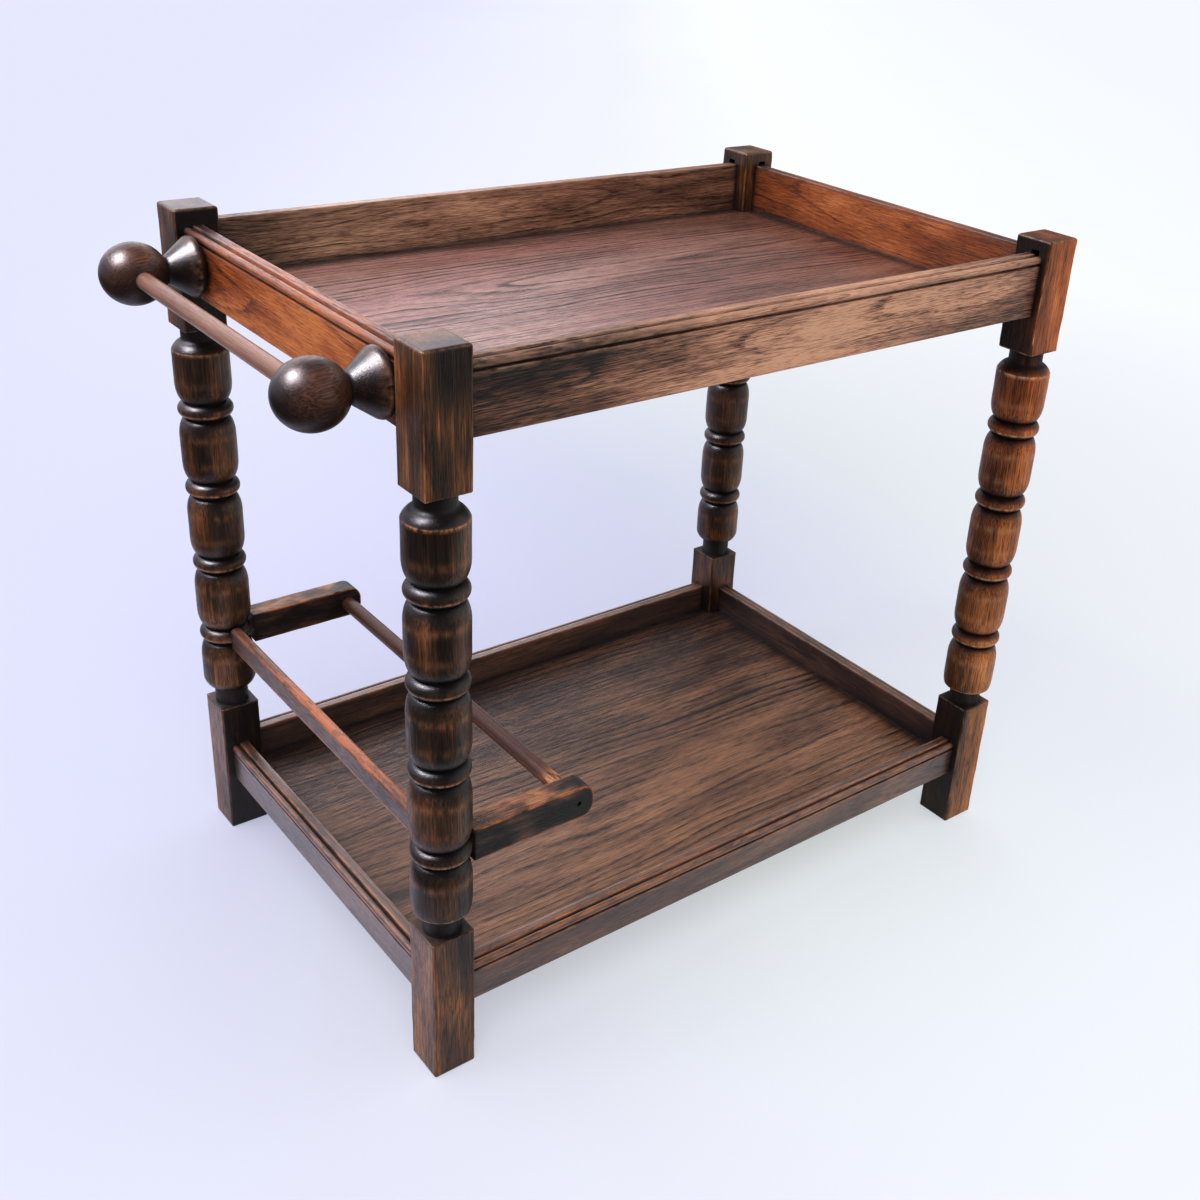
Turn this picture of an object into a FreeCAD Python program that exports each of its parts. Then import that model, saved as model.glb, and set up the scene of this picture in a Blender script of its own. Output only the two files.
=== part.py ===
import FreeCAD, Part
import math
import os

V = FreeCAD.Vector

# A two-tier bar cart of dark stained oak. Four turned legs with square blocks carry an upper and a
# lower tray, a turned push handle stands out at the left end, and a bottle rack sits between the two
# left legs. X runs along the cart with the handle at its low end, Y runs from front to back, Z is up.
# The origin is on the floor, under the middle of the whole cart with its handle. Sizes in millimetres.

# Whole cart, over the outer faces of the leg squares
cart_length = 780.0
cart_width = 522.0
cart_height = 736.0

# Leg squares
leg_square = 45.0
top_square_height = 123.0
foot_square_height = 165.0
leg_edge_round = 1.6
leg_top_round = 3.0
foot_edge_round = 2.6

# Turned stem of a leg: barrels parted by thin rings
barrel_radius = 29.0
ring_radius = 28.6
groove_radius = 21.0
neck_radius = 18.3
top_neck_height = 12.0
neck_cove_height = 4.0
neck_cove_reach = 3.2
shoulder_height = 8.5
foot_neck_height = 11.0
foot_barrel_length = 71.0
foot_barrel_rounding = 14.0
top_barrel_length = 55.5
barrel_rounding = 20.5
ring_count = 4
ring_thickness = 17.0
groove_width = 1.0
quarter_curve_share = 0.5523
ring_curve_share = 0.44
shoulder_crown_share = 0.33
shoulder_rise_share = 0.7
cove_depth_share = 0.4

# Tray rails, with a round bead between two quirks along the outer top edge
rail_thickness = 20.0
rail_set_back = 8.0
rail_below_leg_top = 16.0
top_rail_height = 65.0
lower_rail_height = 45.0
lower_rail_clearance = 70.0
rail_arris = 0.8
inner_quirk_width = 1.6
bead_drop = 1.2
bead_width = 8.0
bead_stand_out = 1.0
under_quirk_height = 2.0
under_quirk_depth = 3.5

# Tenons and the mortises that hold them
tenon_length = 18.0
tenon_thickness = 10.0
tenon_lower_shoulder = 12.0
tenon_upper_shoulder = 14.0
tenon_end_gap = 1.0
mortise_rise = 7.0

# Tray boards, let into a rebate along the lower inner edge of the rails
board_thickness = 8.0
rebate_width = 8.0
board_clearance = 0.5

# Panel pins that hold the boards up into the rebates
pin_radius = 0.8
pin_head_radius = 1.6
pin_head_height = 0.8
pin_length = 18.0
pin_point_length = 2.0
pins_per_long_side = 5
pins_per_short_side = 4

# Push handle: two turned knobs on the left top rail, and a rod between their balls
knob_foot_to_bead_gap = 1.3
knob_foot_height = 1.6
knob_rim_radius = 30.0
knob_rim_distance = 9.0
knob_rim_round = 2.4
knob_waist_radius = 12.0
knob_waist_distance = 34.0
ball_distance = 63.3
ball_half_length = 32.0
ball_radius = 29.8
knob_to_leg_gap = 0.5
handle_above_rail_middle = 1.0
handle_rod_radius = 8.5
handle_socket_floor = 6.0
handle_socket_clearance = 0.4

# Screws that hold the knobs from inside the tray
screw_radius = 2.1
screw_head_radius = 4.0
screw_head_depth = 2.6
screw_length = 42.0
screw_slot_width = 1.0
screw_slot_depth = 1.1

# Bottle rack between the left legs
rack_arm_thickness = 25.0
rack_arm_height = 35.0
rack_arm_length = 134.0
rack_arm_below_ring = 3.0
rack_arm_end_round = 14.0
rack_bar_thickness = 12.0
rack_bar_height = 24.5
rack_bar_drop = 0.5
rack_bar_round = 4.0
rack_rod_radius = 8.5
rack_rod_from_end = 17.5
rack_rod_socket_depth = 15.0

# Dowels that join the rack to the legs, and nails that hold the rack rod
arm_dowel_radius = 5.0
bar_dowel_radius = 3.5
dowel_length = 38.0
nail_radius = 1.1
nail_head_radius = 1.9
nail_head_height = 1.0
nail_length = 24.0
nail_sink = 2.5

# Clearances and the overrun of a cut
round_clearance = 0.1
butt_clearance = 0.1
overrun = 5.0

# Places worked out from the sizes above
knob_foot_x = -cart_length / 2 + rail_set_back + bead_stand_out
left_reach = ball_distance + ball_half_length - knob_foot_x
right_reach = cart_length / 2 + max(barrel_radius - leg_square / 2, 0)
middle_x = (left_reach - right_reach) / 2
left_leg_x = -cart_length / 2 + leg_square / 2
front_leg_y = -cart_width / 2 + leg_square / 2
top_rail_top = cart_height - rail_below_leg_top
lower_rail_top = lower_rail_clearance + lower_rail_height
tray_half_length = cart_length / 2 - rail_set_back - rail_thickness
tray_half_width = cart_width / 2 - rail_set_back - rail_thickness
long_rail_length = cart_length - 2 * leg_square
short_rail_length = cart_width - 2 * leg_square
handle_height = top_rail_top - top_rail_height / 2 + handle_above_rail_middle
knob_foot_radius = top_rail_top - bead_drop - bead_width - knob_foot_to_bead_gap - handle_height
knob_y = cart_width / 2 - leg_square - knob_rim_radius - knob_to_leg_gap
shoulder_start = cart_height - top_square_height - top_neck_height - neck_cove_height - shoulder_height
half_ring_space = ring_thickness / 2 + groove_width
lowest_ring_height = foot_square_height + foot_neck_height + foot_barrel_length + half_ring_space
highest_ring_height = shoulder_start - top_barrel_length - half_ring_space
ring_pitch = (highest_ring_height - lowest_ring_height) / (ring_count - 1)
rack_arm_middle = lowest_ring_height - rack_arm_below_ring
rack_arm_top = rack_arm_middle + rack_arm_height / 2
rack_bar_top = rack_arm_top - rack_bar_drop
rack_arm_start = left_leg_x + ring_radius + butt_clearance
rack_rod_x = rack_arm_start + rack_arm_length - rack_rod_from_end


class Outline:
    """A closed outline, drawn edge by edge in the plane that place() maps to."""

    def __init__(self, place, across, up):
        self.place = place
        self.start = place(across, up)
        self.here = self.start
        self.edges = []

    def line(self, across, up):
        there = self.place(across, up)
        self.edges.append(Part.makeLine(self.here, there))
        self.here = there

    def arc(self, corner, end):
        """A quarter of a circle that rounds the corner between here and the end."""
        bend = self.place(*corner)
        there = self.place(*end)
        centre = self.here + there - bend
        middle = centre + (bend - centre) * math.sqrt(0.5)
        self.edges.append(Part.Arc(self.here, middle, there).toShape())
        self.here = there

    def curve(self, corner, end, share):
        """A curve that leaves towards the corner and arrives from it, like a quarter of an ellipse."""
        bend = self.place(*corner)
        there = self.place(*end)
        leaving = self.here + (bend - self.here) * share
        arriving = there + (bend - there) * share
        curve = Part.BezierCurve()
        curve.setPoles([self.here, leaving, arriving, there])
        self.edges.append(curve.toShape())
        self.here = there

    def face(self):
        """The face inside the outline, closed by a straight line."""
        return Part.Face(Part.Wire(self.edges + [Part.makeLine(self.here, self.start)]))


def upright(across, up):
    return V(across, 0, up)


def end_on(across, up):
    return V(0, across, up)


def block(low, high):
    size = high - low
    return Part.makeBox(size.x, size.y, size.z, low)


def round_bar(start, end, radius):
    run = end - start
    return Part.makeCylinder(radius, run.Length, start, run)


def edges_at_height(shape, height):
    ends = [(edge, edge.BoundBox) for edge in shape.Edges]
    near = leg_edge_round / 2
    return [edge for edge, box in ends if abs(box.ZMin - height) < near and abs(box.ZMax - height) < near]


def upright_edges(shape):
    near = leg_edge_round / 2
    return [edge for edge in shape.Edges if edge.BoundBox.ZLength > near]


def union(shapes):
    whole = shapes[0]
    for shape in shapes[1:]:
        whole = whole.fuse(shape)
    return whole.removeSplitter()


def cut_all(shape, tools):
    if not tools:
        return shape
    return shape.cut(Part.makeCompound(tools))


def save(name, shape):
    shape.exportStep("parts/" + name + ".step")


# Legs
def leg_block(bottom, top, end_height, end_round):
    """A leg square centred on the Z axis, with rounded edges and a rounder rim at one end."""
    half = leg_square / 2
    body = block(V(-half, -half, bottom), V(half, half, top))
    body = body.makeFillet(leg_edge_round, upright_edges(body))
    return body.makeFillet(end_round, edges_at_height(body, end_height))


def leg_stem():
    """The turned stem between the two squares, centred on the Z axis."""
    bottom = foot_square_height
    top = cart_height - top_square_height
    stem = Outline(upright, 0, bottom)
    stem.line(neck_radius, bottom)
    barrel_start = bottom + foot_neck_height
    stem.line(neck_radius, barrel_start)
    stem.curve((barrel_radius, barrel_start), (barrel_radius, barrel_start + foot_barrel_rounding),
               quarter_curve_share)
    for count in range(ring_count):
        middle = lowest_ring_height + count * ring_pitch
        low = middle - ring_thickness / 2
        high = middle + ring_thickness / 2
        barrel_end = middle - half_ring_space
        barrel_start = middle + half_ring_space
        stem.line(barrel_radius, barrel_end - barrel_rounding)
        stem.curve((barrel_radius, barrel_end), (groove_radius, barrel_end), quarter_curve_share)
        stem.line(groove_radius, low)
        stem.curve((ring_radius, low), (ring_radius, middle), ring_curve_share)
        stem.curve((ring_radius, high), (groove_radius, high), ring_curve_share)
        stem.line(groove_radius, barrel_start)
        stem.curve((barrel_radius, barrel_start), (barrel_radius, barrel_start + barrel_rounding),
                   quarter_curve_share)
    cove_bottom = top - top_neck_height - neck_cove_height
    cove_radius = neck_radius + neck_cove_reach
    crown_radius = barrel_radius - shoulder_crown_share * (barrel_radius - cove_radius)
    crown_height = shoulder_start + shoulder_rise_share * shoulder_height
    stem.line(barrel_radius, shoulder_start)
    stem.curve((crown_radius, crown_height), (cove_radius, cove_bottom), quarter_curve_share)
    stem.curve((neck_radius, cove_bottom + cove_depth_share * neck_cove_height),
               (neck_radius, top - top_neck_height), quarter_curve_share)
    stem.line(neck_radius, top)
    stem.line(0, top)
    return stem.face().revolve(V(0, 0, 0), V(0, 0, 1), 360)


def whole_leg():
    foot = leg_block(0, foot_square_height, 0, foot_edge_round)
    head = leg_block(cart_height - top_square_height, cart_height, cart_height, leg_top_round)
    return union([foot, leg_stem(), head])


# Tray rails
def rail_section(height):
    """Section of a rail: its inner face at 0 across, its top at 0 up."""
    bead_radius = bead_width / 2
    bead_start = rail_thickness - bead_width
    bead_middle = -bead_drop - bead_radius
    bead_bottom = -bead_drop - bead_width
    face = rail_thickness - bead_stand_out
    quirk_back = face - under_quirk_depth
    quirk_bottom = bead_bottom - under_quirk_height
    section = Outline(end_on, 0, -rail_arris)
    section.arc((0, 0), (rail_arris, 0))
    section.line(bead_start - inner_quirk_width, 0)
    section.line(bead_start, bead_middle)
    section.arc((bead_start, -bead_drop), (bead_start + bead_radius, -bead_drop))
    section.arc((rail_thickness, -bead_drop), (rail_thickness, bead_middle))
    section.arc((rail_thickness, bead_bottom), (rail_thickness - bead_radius, bead_bottom))
    section.line(quirk_back, bead_bottom)
    section.line(quirk_back, quirk_bottom)
    section.line(face, quirk_bottom)
    section.line(face, -height + rail_arris)
    section.arc((face, -height), (face - rail_arris, -height))
    section.line(rebate_width, -height)
    section.line(rebate_width, -height + board_thickness)
    section.line(0, -height + board_thickness)
    return section.face()


def rail_place(side, top):
    """Turns a rail drawn along X, with its face towards +Y, to its side of the cart."""
    reach = tray_half_length if side in ("left", "right") else tray_half_width
    turn = {"back": 0, "left": 90, "front": 180, "right": -90}[side]
    spin = FreeCAD.Rotation(V(0, 0, 1), turn)
    return FreeCAD.Placement(V(middle_x, 0, top) + spin.multVec(V(0, reach, 0)), spin)


def rail_length(side):
    return short_rail_length if side in ("left", "right") else long_rail_length


def tenon_box(end, length, low, high, depth):
    """A box that runs out of one end of a rail, or into the leg beside it."""
    start = end * length / 2
    across = (rail_thickness - tenon_thickness) / 2
    near = min(start, start + end * depth)
    far = max(start, start + end * depth)
    return block(V(near, across, low), V(far, across + tenon_thickness, high))


def rail_tenons(side, top, height, extra_depth, rise):
    """The two tenons of a rail, or with extra depth and rise the mortises cut for them."""
    low = -height + tenon_lower_shoulder
    high = -tenon_upper_shoulder
    if rise:
        high = rise
    boxes = []
    for end in (-1, 1):
        box = tenon_box(end, rail_length(side), low, high, tenon_length + extra_depth)
        box.Placement = rail_place(side, top).multiply(box.Placement)
        boxes.append(box)
    return boxes


def rail(side, top, height):
    length = rail_length(side)
    bar = rail_section(height).extrude(V(length, 0, 0))
    bar.translate(V(-length / 2, 0, 0))
    bar.Placement = rail_place(side, top).multiply(bar.Placement)
    return union([bar] + rail_tenons(side, top, height, 0, 0))


# Tray boards and their pins
def board(bottom):
    """A board that fills the rebates of its four rails, notched round the legs."""
    half_x = tray_half_length + rebate_width - board_clearance
    half_y = tray_half_width + rebate_width - board_clearance
    between_x = long_rail_length / 2 - board_clearance
    between_y = short_rail_length / 2 - board_clearance
    top = bottom + board_thickness
    long_strip = block(V(middle_x - half_x, -between_y, bottom), V(middle_x + half_x, between_y, top))
    wide_strip = block(V(middle_x - between_x, -half_y, bottom), V(middle_x + between_x, half_y, top))
    return union([long_strip, wide_strip])


def pin_places():
    """Where pins go up through a board: along the middle of the rebate on all four sides."""
    in_x = tray_half_length + rebate_width / 2
    in_y = tray_half_width + rebate_width / 2
    places = []
    for side in (-1, 1):
        for count in range(pins_per_long_side):
            along = long_rail_length * ((count + 0.5) / pins_per_long_side - 0.5)
            places.append((middle_x + along, side * in_y))
        for count in range(pins_per_short_side):
            along = short_rail_length * ((count + 0.5) / pins_per_short_side - 0.5)
            places.append((middle_x + side * in_x, along))
    return places


def pin(x, y, bottom, clearance):
    """A panel pin, head down, or with a clearance the hole bored for it."""
    shank_start = bottom + pin_head_height
    shank_end = bottom + pin_length - pin_point_length
    point = bottom + pin_length
    radius = pin_radius + clearance
    head = round_bar(V(x, y, bottom - clearance), V(x, y, shank_start), pin_head_radius + clearance)
    shank = round_bar(V(x, y, shank_start), V(x, y, shank_end), radius)
    tip = Part.makeCone(radius, clearance, point - shank_end, V(x, y, shank_end), V(0, 0, 1))
    return union([head, shank, tip])


def pins(bottom, clearance):
    return [pin(x, y, bottom, clearance) for x, y in pin_places()]


# Push handle
def knob(y):
    """A turned knob: a flared foot on the rail, a cone to a narrow waist, and a ball."""
    foot = Outline(upright, 0, 0)
    foot.line(knob_foot_radius, 0)
    foot.line(knob_foot_radius, knob_foot_height)
    foot.curve((knob_rim_radius, knob_foot_height), (knob_rim_radius, knob_rim_distance - knob_rim_round),
               quarter_curve_share)
    slope = (knob_rim_radius - knob_waist_radius) / (knob_waist_distance - knob_rim_distance)
    cone_start = (knob_rim_radius - knob_rim_round * slope, knob_rim_distance + knob_rim_round)
    foot.curve((knob_rim_radius, knob_rim_distance), cone_start, quarter_curve_share)
    foot.line(knob_waist_radius, knob_waist_distance)
    foot.line(0, ball_distance)
    cone = foot.face().revolve(V(0, 0, 0), V(0, 0, 1), 360)
    near = ball_distance - ball_half_length
    far = ball_distance + ball_half_length
    ball = Outline(upright, 0, near)
    ball.curve((ball_radius, near), (ball_radius, ball_distance), quarter_curve_share)
    ball.curve((ball_radius, far), (0, far), quarter_curve_share)
    globe = ball.face().revolve(V(0, 0, 0), V(0, 0, 1), 360)
    whole = union([cone, globe])
    whole.rotate(V(0, 0, 0), V(0, 1, 0), -90)
    whole.translate(V(middle_x + knob_foot_x, y, handle_height))
    return whole


def knob_screw(y, clearance):
    """A countersunk screw from inside the tray, or with a clearance the hole bored for it."""
    start = V(middle_x - tray_half_length, y, handle_height)
    radius = screw_radius + clearance
    shank = round_bar(start, start - V(screw_length + clearance, 0, 0), radius)
    head = Part.makeCone(screw_head_radius + clearance, radius, screw_head_depth, start, V(-1, 0, 0))
    whole = union([shank, head])
    if clearance:
        return whole
    half = V(0, screw_head_radius, screw_slot_width / 2)
    slot = block(start - half - V(screw_slot_depth, 0, 0), start + half)
    return whole.cut(slot)


def handle_rod(clearance):
    half = knob_y - handle_socket_floor
    x = middle_x + knob_foot_x - ball_distance
    return round_bar(V(x, -half, handle_height), V(x, half, handle_height), handle_rod_radius + clearance)


# Bottle rack
def rack_arm(y):
    """An arm that stands out from a left leg, its free end rounded above and below."""
    start = rack_arm_start
    end = start + rack_arm_length
    low = rack_arm_top - rack_arm_height
    high = rack_arm_top
    side = Outline(upright, start, low)
    side.line(end - rack_arm_end_round, low)
    side.arc((end, low), (end, low + rack_arm_end_round))
    side.line(end, high - rack_arm_end_round)
    side.arc((end, high), (end - rack_arm_end_round, high))
    side.line(start, high)
    arm = side.face().extrude(V(0, rack_arm_thickness, 0))
    arm.translate(V(middle_x, y - rack_arm_thickness / 2, 0))
    return arm


def rack_bar():
    """The bar between the two left legs, rounded along its top."""
    half = rack_bar_thickness / 2
    top = rack_bar_top
    bottom = top - rack_bar_height
    section = Outline(upright, -half, bottom)
    section.line(half, bottom)
    section.line(half, top - rack_bar_round)
    section.arc((half, top), (half - rack_bar_round, top))
    section.line(-half + rack_bar_round, top)
    section.arc((-half, top), (-half, top - rack_bar_round))
    reach = -front_leg_y - ring_radius - butt_clearance
    bar = section.face().extrude(V(0, 2 * reach, 0))
    bar.translate(V(middle_x + left_leg_x, -reach, 0))
    return bar


def rack_rod(clearance):
    half = -front_leg_y - rack_arm_thickness / 2 + rack_rod_socket_depth
    start = V(middle_x + rack_rod_x, -half, rack_arm_middle)
    return round_bar(start, start + V(0, 2 * half, 0), rack_rod_radius + clearance)


def rack_nail(side, clearance):
    """A nail through the end of an arm into the rod, or with a clearance its sunk hole."""
    outward = V(0, side, 0)
    face = V(middle_x + rack_rod_x, side * (-front_leg_y + rack_arm_thickness / 2), rack_arm_middle)
    head_top = face - outward * nail_sink
    head_bottom = head_top - outward * nail_head_height
    head_start = face + outward * overrun if clearance else head_top
    head = round_bar(head_start, head_bottom, nail_head_radius + clearance)
    shank = round_bar(head_bottom, head_top - outward * (nail_length + clearance), nail_radius + clearance)
    return union([head, shank])


def arm_dowel(side, clearance):
    middle = V(middle_x + rack_arm_start, side * -front_leg_y, rack_arm_middle)
    half = V(dowel_length / 2 + clearance, 0, 0)
    return round_bar(middle - half, middle + half, arm_dowel_radius + clearance)


def bar_dowel(side, clearance):
    reach = -front_leg_y - ring_radius - butt_clearance
    middle = V(middle_x + left_leg_x, side * reach, rack_bar_top - rack_bar_height / 2)
    half = V(0, dowel_length / 2 + clearance, 0)
    return round_bar(middle - half, middle + half, bar_dowel_radius + clearance)


# Everything is cut for what it holds, and saved
os.makedirs("parts", exist_ok=True)

trays = (
    ("top", top_rail_top, top_rail_height, mortise_rise),
    ("lower", lower_rail_top, lower_rail_height, 0),
)
sides = ("front", "back", "left", "right")
ends = (-1, 1)

mortises = []
for name, top, height, rise in trays:
    for side in sides:
        mortises += rail_tenons(side, top, height, tenon_end_gap, rise)
leg_holes = mortises + [arm_dowel(side, round_clearance) for side in ends]
leg_holes += [bar_dowel(side, round_clearance) for side in ends]
for name_x, end_x in (("left", 1), ("right", -1)):
    for name_y, end_y in (("front", 1), ("back", -1)):
        leg = whole_leg()
        leg.translate(V(middle_x + end_x * left_leg_x, end_y * front_leg_y, 0))
        save("leg_" + name_y + "_" + name_x, cut_all(leg, leg_holes))

screw_holes = [knob_screw(side * knob_y, round_clearance) for side in ends]
for name, top, height, rise in trays:
    bottom = top - height
    pin_holes = pins(bottom, round_clearance)
    for side in sides:
        bores = pin_holes + screw_holes if (name, side) == ("top", "left") else pin_holes
        save(name + "_rail_" + side, cut_all(rail(side, top, height), bores))
    save(name + "_board", cut_all(board(bottom), pin_holes))
    save(name + "_board_pins", Part.makeCompound(pins(bottom, 0)))

for name, side in (("front", -1), ("back", 1)):
    knob_bores = screw_holes + [handle_rod(handle_socket_clearance)]
    save("knob_" + name, cut_all(knob(side * knob_y), knob_bores))
    arm_bores = [rack_rod(round_clearance), arm_dowel(side, round_clearance)]
    arm_bores.append(rack_nail(side, round_clearance))
    save("rack_arm_" + name, cut_all(rack_arm(side * -front_leg_y), arm_bores))
save("handle_rod", handle_rod(0))
save("knob_screws", Part.makeCompound([knob_screw(side * knob_y, 0) for side in ends]))
save("rack_bar", cut_all(rack_bar(), [bar_dowel(side, round_clearance) for side in ends]))
save("rack_rod", cut_all(rack_rod(0), [rack_nail(side, round_clearance) for side in ends]))
save("rack_nails", Part.makeCompound([rack_nail(side, 0) for side in ends]))
save("rack_arm_dowels", Part.makeCompound([arm_dowel(side, 0) for side in ends]))
save("rack_bar_dowels", Part.makeCompound([bar_dowel(side, 0) for side in ends]))
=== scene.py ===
"""Looks of the bar cart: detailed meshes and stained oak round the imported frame."""

import math

import bmesh
import bpy
import numpy as np
from mathutils import Matrix, Vector


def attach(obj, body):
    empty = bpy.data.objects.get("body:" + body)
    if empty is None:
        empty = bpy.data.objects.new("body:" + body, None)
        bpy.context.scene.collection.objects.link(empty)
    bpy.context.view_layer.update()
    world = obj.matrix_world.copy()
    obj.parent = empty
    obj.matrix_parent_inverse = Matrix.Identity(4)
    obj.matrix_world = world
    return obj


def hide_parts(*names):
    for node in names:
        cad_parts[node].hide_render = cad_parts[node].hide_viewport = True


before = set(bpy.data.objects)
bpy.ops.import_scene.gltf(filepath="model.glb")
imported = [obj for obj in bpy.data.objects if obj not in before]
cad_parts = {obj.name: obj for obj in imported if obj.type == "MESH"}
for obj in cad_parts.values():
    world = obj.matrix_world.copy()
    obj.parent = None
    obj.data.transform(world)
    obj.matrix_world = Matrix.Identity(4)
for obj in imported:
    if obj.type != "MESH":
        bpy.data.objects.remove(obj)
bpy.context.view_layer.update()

# Sizes in millimetres, as in the construction
MM = 0.001
CART_LENGTH, CART_WIDTH, CART_HEIGHT = 780.0, 522.0, 736.0
MIDDLE_X = 39.9
FIT_GAP = 0.1

LEG_SQUARE, TOP_SQUARE, FOOT_SQUARE = 45.0, 123.0, 165.0
LEG_HALF = LEG_SQUARE / 2
LEG_X, LEG_Y = CART_LENGTH / 2 - LEG_HALF, CART_WIDTH / 2 - LEG_HALF
HEAD_START = CART_HEIGHT - TOP_SQUARE
FOOT_ROUND, HEAD_ROUND, SQUARE_ARRIS, SIDE_ARRIS = 2.6, 3.0, 0.7, 1.6
BARREL_R, RING_R, GROOVE_R, COVE_R, NECK_R = 29.0, 28.6, 21.0, 21.5, 18.3
BARREL_EASE, RIM_RISE, STEM_SINK = 20.5, 14.0, 2.0
RING_HEIGHTS = (256.5, 345.5, 434.5, 523.5)
RING_HALF, GROOVE_WIDTH = 8.5, 1.0
SHOULDER_START, COVE_BOTTOM, NECK_BOTTOM = 588.5, 597.0, 601.0

RAIL_T, RAIL_SET_BACK, FACE_BACK = 20.0, 8.0, 1.0
TOP_RAIL_TOP, TOP_RAIL_H = 720.0, 65.0
LOWER_RAIL_TOP, LOWER_RAIL_H = 115.0, 45.0
RAIL_ARRIS, FLAT_END, QUIRK_T, QUIRK_DEPTH = 0.9, 9.9, 11.8, 4.7
BEAD_T, BEAD_TOP, BEAD_R = 16.0, 1.2, 4.0
STEP_T, STEP_DEPTH = 15.5, 11.2
BOARD_T, REBATE = 8.0, 8.0
TENON_INSET, TENON_T, TENON_LENGTH, TENON_TOP, TENON_BOTTOM = 5.0, 10.0, 18.0, 14.0, 12.0
SLOT_LOW, SLOT_HIGH, SLOT_DEPTH = TOP_RAIL_TOP - 4, TOP_RAIL_TOP + 4.4, 18.0
TRAY_X, TRAY_Y = (size / 2 - RAIL_SET_BACK - RAIL_T for size in (CART_LENGTH, CART_WIDTH))

KNOB_FOOT_X = MIDDLE_X - CART_LENGTH / 2 + RAIL_SET_BACK + FACE_BACK
HANDLE_Z, KNOB_Y = 688.5, 185.5
CONE_FOOT_R, CONE_R, CONE_SLOPE, KNOB_NECK_R, KNOB_NECK_D = 21.0, 30.0, 18 / 25, 12.9, 32.8
BALL_X, BALL_R, BALL_HALF = 63.3, 29.8, 32.0
ROD_R, ROD_CHAMFER, HANDLE_HALF = 8.5, 0.8, KNOB_Y - 6
SOCKET_GAP, SOCKET_CUT = 0.4, 60.0
SINK_R, SCREW_HOLE_R, SINK_DEPTH, SCREW_HOLE_DEPTH = 4.15, 2.2, 2.6, 12.0

ARM_LENGTH, ARM_T, ARM_H, ARM_MIDDLE, ARM_NOSE_R, ARM_ARRIS = 134.0, 25.0, 35.0, 253.5, 14.0, 1.1
ARM_START = MIDDLE_X - LEG_X + RING_R + FIT_GAP
RACK_ROD_X, RACK_ROD_HALF = ARM_START + ARM_LENGTH - ARM_H / 2, LEG_Y + 2.5
NAIL_HOLE_R, NAIL_HOLE_DEPTH = 2.4, 2.6
BAR_T, BAR_H, BAR_ROUND, BAR_ARRIS, BAR_STATIONS = 12.0, 24.5, 4.0, 0.5, 110

QUARTER = 0.5523  # how far towards the corner a curve's handles reach when it is a quarter circle
GRAIN_STEP = 977.0  # how far apart along the grain two pieces of different seeds are cut
UPRIGHT = np.eye(3)


# Smooth made-up unevenness, the same on every run
def waves(points, scale, seed, count=7):
    """Soft noise between about -1 and 1 at points in mm, with lumps about scale mm apart."""
    rng = np.random.default_rng(seed)
    total = np.zeros(len(points))
    for _ in range(count):
        way = rng.normal(size=3)
        way *= 2 * math.pi / (scale * rng.uniform(0.7, 1.9) * np.linalg.norm(way))
        total += np.sin(points @ way + rng.uniform(0, 2 * math.pi))
    return total / math.sqrt(count)


def hollows(points, depth, scale, seed):
    """Shallow dents from 0 to depth."""
    return depth / 2 * (1 + np.clip(waves(points, scale, seed), -1, 1))


def smooth(value, low, high):
    t = np.clip((value - low) / (high - low), 0, 1)
    return t * t * (3 - 2 * t)


def near(distance, width):
    return np.exp(-(distance / width) ** 2)


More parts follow.
